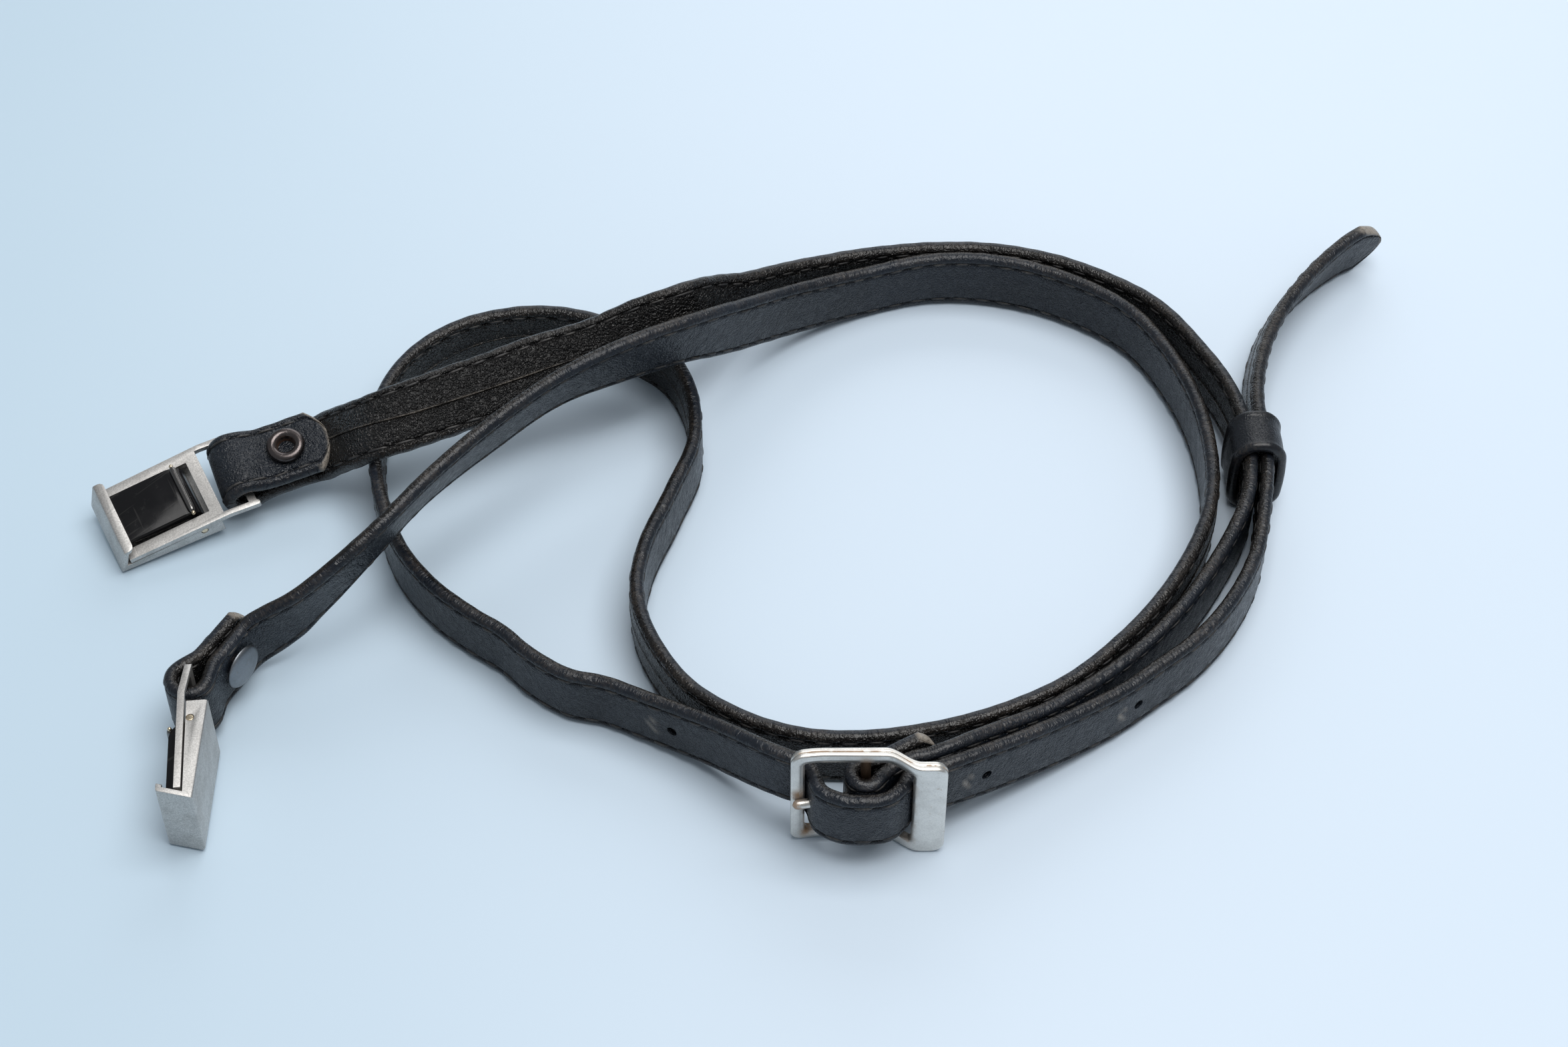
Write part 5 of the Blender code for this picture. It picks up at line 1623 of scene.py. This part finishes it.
@dataclass
class Rivet:
    """A rivet: a domed cap in front and a hollow rolled flange on the back."""

    name: str
    axes: Axes
    cap: float = 0.0038
    rise: float = 0.0010
    flange: float = 0.0033
    bore: float = 0.0015
    shank: float = 0.0019
    roll: float = 0.00086
    segments: int = 64

    def build(self) -> Object:
        """Turns the profile: a dome r = cap sin a, z = rise cos a, the shank, half a torus and its bore.

        Returns:
            The rivet; its first material is the flange's and its second the cap's.
        """
        h = (LAYER + STRAP_THICK) / 2 + 1.8 * GAP
        a = np.radians(np.linspace(4, 84, 12))
        dome = np.stack([self.cap * np.sin(a), -h - self.rise * np.cos(a)], -1)
        skirt = np.array([
            [self.cap, -h - 0.00004], [self.cap * 0.985, -h + 0.00008],
            [self.cap * 0.94, -h + 0.0001], [self.shank, -h + 0.0001],
        ])
        middle = (self.flange + self.bore) / 2
        b = np.radians(np.linspace(-12, 180, 18))
        out = middle + (self.flange - middle) * np.cos(b)
        roll = np.stack([out, h + 0.00018 + self.roll * np.sin(b)], -1)
        floor = -h + 0.0011
        well = np.array([
            [self.bore * 0.97, h - 0.0002], [self.bore * 0.93, h - 0.0012], [self.bore * 0.9, floor + 0.0005],
            [self.bore * 0.8, floor + 0.0001], [self.bore * 0.4, floor], [0.00008, floor],
        ])
        foot = np.array([[self.shank, h - 0.0001], [self.flange * 0.9, h - 0.0001]])
        profile = np.vstack([dome, skirt, foot, roll, well])
        rust = np.zeros(len(profile))
        rust[-len(well):] = 0.85
        rust[-len(well) - 4:-len(well)] = 0.35
        metal = revolved(self.name + "_metal", profile, self.axes, self.segments, {"rust": rust})
        slots = np.zeros(len(metal.data.polygons), np.int32)
        slots[:(len(dome) + 2) * self.segments] = 1
        slots[-2] = 1
        metal.data.materials.append(None)
        metal.data.materials.append(None)
        metal.data.polygons.foreach_set("material_index", slots)
        return metal

    def dress(self, finishes: Finishes) -> None:
        """Builds the rivet, finishes it and puts it on its body.

        Args:
            finishes: the strap's finishes.
        """
        metal = self.build()
        metal.data.materials[0] = finishes.flange
        metal.data.materials[1] = finishes.cap
        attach(metal, "strap")
        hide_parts(self.name)
        log.info("%s: %d faces", self.name, len(metal.data.polygons))


@dataclass
class Clip:
    """One clip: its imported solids, softened and finished, and the roll on the gate's rear end."""

    number: int
    nodes: dict[str, Object]
    axes: Axes
    roll_at: float
    gate_width: float = 0.0095
    gate_proud: float = 0.0021
    roll: float = 0.00062
    roll_sunk: float = 0.00015
    roll_pin: float = 0.00028
    bead: float = 0.00036
    bead_neck: float = 0.00050
    bead_out: float = 0.00062

    def _across(self, reach: float) -> tuple[Array, Array]:
        """Shares from -1 to 1, closer at the ends, and the places that they give across the gate.

        Args:
            reach: half the length of the line across.

        Returns:
            The shares and the places.
        """
        t = np.sin(np.radians(np.linspace(-90, 90, 41)))
        path = np.stack([self.roll_at + 0 * t, reach * t, self.gate_proud - self.roll_sunk + 0 * t], -1)
        return t, self.axes.place(path)

    def build_roll(self) -> Object:
        """The gate's rolled rear end, a rod of radius r sqrt(1 - t^14) at the share t of its half length.

        Returns:
            The roll.
        """
        t, path = self._across(self.gate_width / 2 + 0.0001)
        radii = self.roll * np.sqrt(np.clip(1 - t**14, 0.04, 1))
        return tube(f"clip_{self.number}_gate_roll", path, radii, 24)

    def build_roll_pin(self) -> Object:
        """The wire in the roll, with a round bead at each end.

        Returns:
            The wire.
        """
        reach = self.gate_width / 2 + self.bead_out
        t, path = self._across(reach)
        bead = np.clip(1 - ((1 - np.abs(t)) * reach / self.bead - 1) ** 2, 0.02, 1)
        radii = np.where(1 - np.abs(t) < self.bead_neck / reach, self.bead * np.sqrt(bead), self.roll_pin)
        return tube(f"clip_{self.number}_roll_pin", path, radii, 16)

    def _soften(self, obj: Object, width: float, segments: int = 3) -> None:
        """Joins the loose triangles, rounds the sharp edges and evens the shading.

        Args:
            obj: one of the clip's solids.
            width: how wide its edges are rounded.
            segments: the steps of the rounding.
        """
        obj.modifiers.new("join", "WELD").merge_threshold = 0.000002
        bevel = obj.modifiers.new("soft_edges", "BEVEL")
        bevel.width = width
        bevel.segments = segments
        bevel.limit_method = "ANGLE"
        bevel.angle_limit = math.radians(32)
        bevel.harden_normals = True
        obj.data.shade_smooth()

    def dress(self, finishes: Finishes) -> None:
        """Finishes the plate, cover, gate and pin, and adds the roll and its wire to the gate.

        Args:
            finishes: the strap's finishes.
        """
        looks = {
            "plate": (finishes.clip, 0.00022),
            "cover": (finishes.clip, 0.00022),
            "gate": (finishes.gate, 0.00010),
            "pin": (finishes.pin, 0.00008),
        }
        for part, (material, width) in looks.items():
            obj = self.nodes[f"clip_{self.number}_{part}"]
            obj.data.materials.clear()
            obj.data.materials.append(material)
            self._soften(obj, width)
            log.info("%s: softened", obj.name)
        rolls = (
            (self.build_roll(), finishes.roll, "gate_steel"),
            (self.build_roll_pin(), finishes.pin, "pin_steel"),
        )
        for obj, material, slot in rolls:
            obj.data.materials.append(material)
            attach(obj, f"gate_{self.number}")
            log.info("%s: %d faces", obj.name, len(obj.data.polygons))


@dataclass
class Buckle:
    """The bowed frame, its centre bar and the prong."""

    origin: Array
    side: float = 0.0020
    clear: float = 0.0030
    depth: float = 0.0018
    left: float = 0.0116
    right: float = 0.0125
    narrow: float = 0.0022
    broad: float = 0.0052
    bar: float = 0.0008
    broad_forward: float = 0.0027
    narrow_forward: float = 0.0008
    corner: float = 0.0020
    window_corner: float = 0.0006
    rounding: float = 0.00048
    groove: float = 0.00016
    prong: float = 0.0008

    def forward(self, x: Array) -> Array:
        """How far the frame stands towards the viewer along its length, eased in at both ends.

        Args:
            x: places along the frame, from its centre bar.

        Returns:
            The distance at each place.
        """
        right = np.clip((x - 0.0030) / 0.0055, 0, 1)
        left = np.clip((-x - 0.0060) / 0.0060, 0, 1)
        return -self.broad_forward * right * right * (3 - 2 * right) - self.narrow_forward * left * left

    @property
    def height(self) -> float:
        """The frame's height."""
        return STRAP_WIDTH + 2 * (self.side + self.clear)

    @staticmethod
    def _loop(low: tuple[float, float], high: tuple[float, float], radius: float) -> Array:
        """A rounded rectangle as one closed line, with as many points whatever its size.

        Args:
            low: its lowest corner.
            high: its highest corner.
            radius: the radius of its corners.

        Returns:
            The line's points.
        """
        points, spots = [], []
        for k, (sx, sz) in enumerate(((1, 1), (-1, 1), (-1, -1), (1, -1))):
            cx = (high[0] - radius) if sx > 0 else (low[0] + radius)
            cz = (high[1] - radius) if sz > 0 else (low[1] + radius)
            a = math.pi / 2 * (k + np.linspace(0, 1, 13))
            spots.append(np.stack([cx + radius * np.cos(a), cz + radius * np.sin(a)], -1))
        for k in range(4):
            points.append(spots[k])
            t = np.linspace(0, 1, 42)[1:-1, None]
            points.append(spots[k][-1] * (1 - t) + spots[(k + 1) % 4][0] * t)
        return np.vstack(points)

    def build_frame(self) -> Object:
        """Stretches a rounded section between the window's line and the outer line.

        A point is inner + (outer - inner) a, at depth n: the section is a rectangle with rounded
        corners, its outer wall has a shallow groove in the middle, and its front is slightly
        crowned. The whole is then bowed forward.

        Returns:
            The frame.
        """
        window = (self.right - self.broad, self.height - self.side)
        inner = self._loop((-self.left + self.narrow, self.side), window, self.window_corner)
        outer = self._loop((-self.left, 0.0), (self.right, self.height), self.corner)
        gap = np.linalg.norm(outer - inner, axis=1)
        r, h = self.rounding, self.depth / 2
        a = np.radians(np.linspace(0, 90, 7))
        crown = np.linspace(0, 1, 11)[1:-1]
        rows = []
        for angle in a:
            rows.append((gap - r + r * math.cos(angle), h - r + r * math.sin(angle) + 0 * gap, 0.0))
        for c in crown[::-1]:
            rows.append((r + (gap - 2 * r) * c, h + 0.00010 * math.sin(math.pi * c) + 0 * gap, 0.0))
        for angle in a[::-1]:
            rows.append((r - r * math.cos(angle), h - r + r * math.sin(angle) + 0 * gap, 0.2))
        for n in (0.15, -0.15):
            rows.append((0 * gap, n * h + 0 * gap, 0.3))
        for angle in a:
            rows.append((r - r * math.cos(angle), -h + r - r * math.sin(angle) + 0 * gap, 0.2))
        for c in crown:
            rows.append((r + (gap - 2 * r) * c, -h - 0.00014 * math.sin(math.pi * c) + 0 * gap, 0.0))
        for angle in a[::-1]:
            rows.append((gap - r + r * math.cos(angle), -h + r - r * math.sin(angle) + 0 * gap, 0.0))
        for n in (-0.00030, -0.00018, -0.00008, 0.0, 0.00008, 0.00018, 0.00030):
            dip = self.groove * math.exp(-((n / 0.00010) ** 2))
            rows.append((gap - dip, n + 0 * gap, math.exp(-((n / 0.00014) ** 2))))
        away = (outer - inner) / gap[:, None]
        grid = np.empty((len(gap), len(rows), 3))
        for k, (reach, deep, _) in enumerate(rows):
            flat = inner + away * (reach + 0 * gap)[:, None]
            grid[:, k, 0] = flat[:, 0]
            grid[:, k, 2] = flat[:, 1]
            grid[:, k, 1] = deep + self.forward(flat[:, 0])
        rust = np.tile(np.array([m for _, _, m in rows]), (len(gap), 1))
        spots = (
            (-self.left + 0.0012, 0.0125, 0.0011),
            (-self.left + 0.0024, self.side, 0.0010),
            (0.0, self.height - self.side, 0.0012),
        )
        for x, z, reach in spots:
            square = (grid[..., 0] - x) ** 2 + (grid[..., 2] - z) ** 2
            rust = np.maximum(rust, np.exp(-square / reach**2) * 0.95)
        points = grid.reshape(-1, 3) + self.origin + SHIFT
        faces = quads(len(gap), len(rows), True, True)
        return piece("buckle_frame_metal", points, faces, None, {"rust": rust.ravel()}, None, 60)

    def build_bar(self) -> Object:
        """The centre bar, a rod from side bar to side bar.

        Returns:
            The bar.
        """
        z = np.linspace(self.side * 0.5, self.height - self.side * 0.5, 24)
        path = np.stack([0 * z, 0 * z, z], -1) + self.origin + SHIFT
        return tube("buckle_centre_bar", path, np.full(len(z), self.bar), 24)

    def build_prong(self) -> Object:
        """The prong: a rod that thins to its tip, from the narrow bar to the centre bar.

        Returns:
            The prong.
        """
        mid = IN_BUCKLE + STRAP_WIDTH / 2
        proud = self.forward(np.array(-self.left + 0.001)) - self.depth / 2 - 0.00105
        tip = np.array([-self.left + 0.0003, proud, mid])
        root = np.array([-0.0006, -0.0004, mid])
        t = np.linspace(0, 1, 40)[:, None]
        path = tip * (1 - t) + root * t
        radii = self.prong * np.sqrt(np.clip(1 - (1 - np.minimum(t[:, 0] / 0.09, 1)) ** 2, 0.02, 1))
        sides = 22
        prong = tube("buckle_prong_metal", path + self.origin + SHIFT, radii, sides)
        set_mask(prong.data, "rust", np.repeat(np.exp(-((t[:, 0] - 0.02) / 0.16) ** 2) * 0.8, sides))
        return prong

    def dress(self, finishes: Finishes) -> None:
        """Builds the frame, bar and prong, finishes them and puts them on their body.

        Args:
            finishes: the strap's finishes.
        """
        frame, bar, prong = self.build_frame(), self.build_bar(), self.build_prong()
        for obj, look in ((frame, finishes.buckle), (bar, finishes.bar), (prong, finishes.buckle)):
            obj.data.materials.append(look)
            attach(obj, "strap")
            log.info("%s: %d faces", obj.name, len(obj.data.polygons))
        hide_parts("buckle_frame")
        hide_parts("buckle_prong")


@dataclass(frozen=True)
class Lamp:
    """A square area light that shines at the middle of the floor."""

    name: str
    place: tuple
    size: float
    power: float
    colour: tuple

    def build(self) -> None:
        """Adds the light to the scene."""
        data = bpy.data.lights.new(self.name, "AREA")
        data.size, data.energy, data.color = self.size, self.power, self.colour
        light = bpy.data.objects.new(self.name, data)
        light.location = self.place
        light.rotation_euler = (-Vector(self.place)).to_track_quat("-Z", "Y").to_euler()
        bpy.context.scene.collection.objects.link(light)


@dataclass(frozen=True)
class Studio:
    """The floor, the light and the camera."""

    lamps: tuple = (
        Lamp("overhead_right", (0.27, -0.05, 1.17), 0.9, 13.3, (1.0, 0.99, 0.975)),
        Lamp("far_strip", (0.10, 1.05, 0.60), 0.85, 3.6, (0.97, 0.985, 1.0)),
    )
    room: tuple = (0.90, 0.95, 1.0, 1.0)
    room_power: float = 0.32
    eye: tuple = (0.0, -0.3387, 0.4037)
    tilt: float = 40.0
    focal_pixels: float = 4600.0
    photo_width: float = 2349.0
    sensor: float = 36.0
    near: float = 0.01
    floor_reach: float = 6.0
    # left and right: the sheet's pale blue, darker at the left as painted shade for the light falling off
    # away from the lamps.
    left: tuple = (0.50, 0.635, 0.745, 1)
    right: tuple = (0.615, 0.715, 0.825, 1)
    cloud: tuple = (0.70, 0.80, 0.88, 1)
    gloss: float = 0.34
    specular: float = 0.35

    def build(self) -> None:
        """A pale blue sheet under soft light from above at the right, seen from in front and above."""
        floor = self._floor()
        for lamp in self.lamps:
            lamp.build()
        world = bpy.data.worlds.new("soft_room")
        bpy.context.scene.world = world
        world.use_nodes = True
        background = world.node_tree.nodes["Background"]
        background.inputs[0].default_value = self.room
        background.inputs[1].default_value = self.room_power
        camera = bpy.data.objects.new("camera", bpy.data.cameras.new("camera"))
        camera.location = SHIFT + np.array(self.eye)
        camera.rotation_euler = (math.radians(self.tilt), 0, 0)
        camera.data.lens = self.focal_pixels / self.photo_width * self.sensor
        camera.data.sensor_width = self.sensor
        camera.data.clip_start = self.near
        bpy.context.scene.collection.objects.link(camera)
        bpy.context.scene.camera = camera
        bpy.context.scene.view_settings.view_transform = "Standard"
        log.info("studio: floor, two lights and camera")

    def _floor(self) -> Object:
        """A flat sheet with painted shade, a little darker to the left where less light falls, with a faint
        gloss.

        Returns:
            The floor.
        """
        n = 21
        across = np.linspace(-self.floor_reach, self.floor_reach, n)
        x, y = np.meshgrid(across, across, indexing="ij")
        points = np.stack([x, y, 0 * x], -1).reshape(-1, 3)
        mesh = bpy.data.meshes.new("floor")
        mesh.from_pydata(points.tolist(), [], quads(n, n, False, False)[:, ::-1].tolist())
        floor = bpy.data.objects.new("floor", mesh)
        bpy.context.scene.collection.objects.link(floor)
        material, g, shader = blank("pale_sheet")
        place = g.object_place()
        across = g.add("ShaderNodeSeparateXYZ", {0: place}).outputs[0]
        # Painted shade: the sheet's colour darkens towards the left, standing in for the light's falloff.
        sheet_with_painted_falloff = g.mix(g.span(across, -0.16, 0.06), self.left, self.right)
        soft = g.times(g.noise(place, 9.0, 2.0), 0.12)
        g.join(g.mix(soft, sheet_with_painted_falloff, self.cloud), shader.inputs["Base Color"])
        shader.inputs["Roughness"].default_value = self.gloss
        shader.inputs["Specular IOR Level"].default_value = self.specular
        floor.data.materials.append(material)
        return floor


def main() -> None:
    """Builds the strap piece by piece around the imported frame."""
    logging.basicConfig(level=logging.INFO, format="%(name)s %(message)s")
    for obj in list(bpy.data.objects):
        bpy.data.objects.remove(obj)
    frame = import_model()
    Studio().build()
    layout = Layout()
    finishes = Finishes.make()
    rivets = {name: axes.origin + SHIFT for name, axes in layout.rivets.items()}
    straps = {
        "strap_long": Strap(
            "long_strap", layout.long_way, Back.LEFT, (0.0029, 0.0052), 11,
            eyes=layout.eyes(), rivet=rivets["rivet_clip_2"],
        ),
        "strap_short": Strap(
            "short_strap", layout.short_way, Back.RIGHT, (0.0029, 0.0029), 31, rivet=rivets["rivet_clip_1"]
        ),
    }
    for node, strap in straps.items():
        strap.dress(finishes, node)
    Keeper(layout.keeper).dress(finishes)
    for name, axes in layout.rivets.items():
        Rivet(name, axes).dress(finishes)
    for number, axes in layout.clips.items():
        Clip(number, frame["nodes"], axes, layout.cover_end - GATE_TO_COVER_END).dress(finishes)
    Buckle(layout.buckle).dress(finishes)


if __name__ == "__main__":
    main()
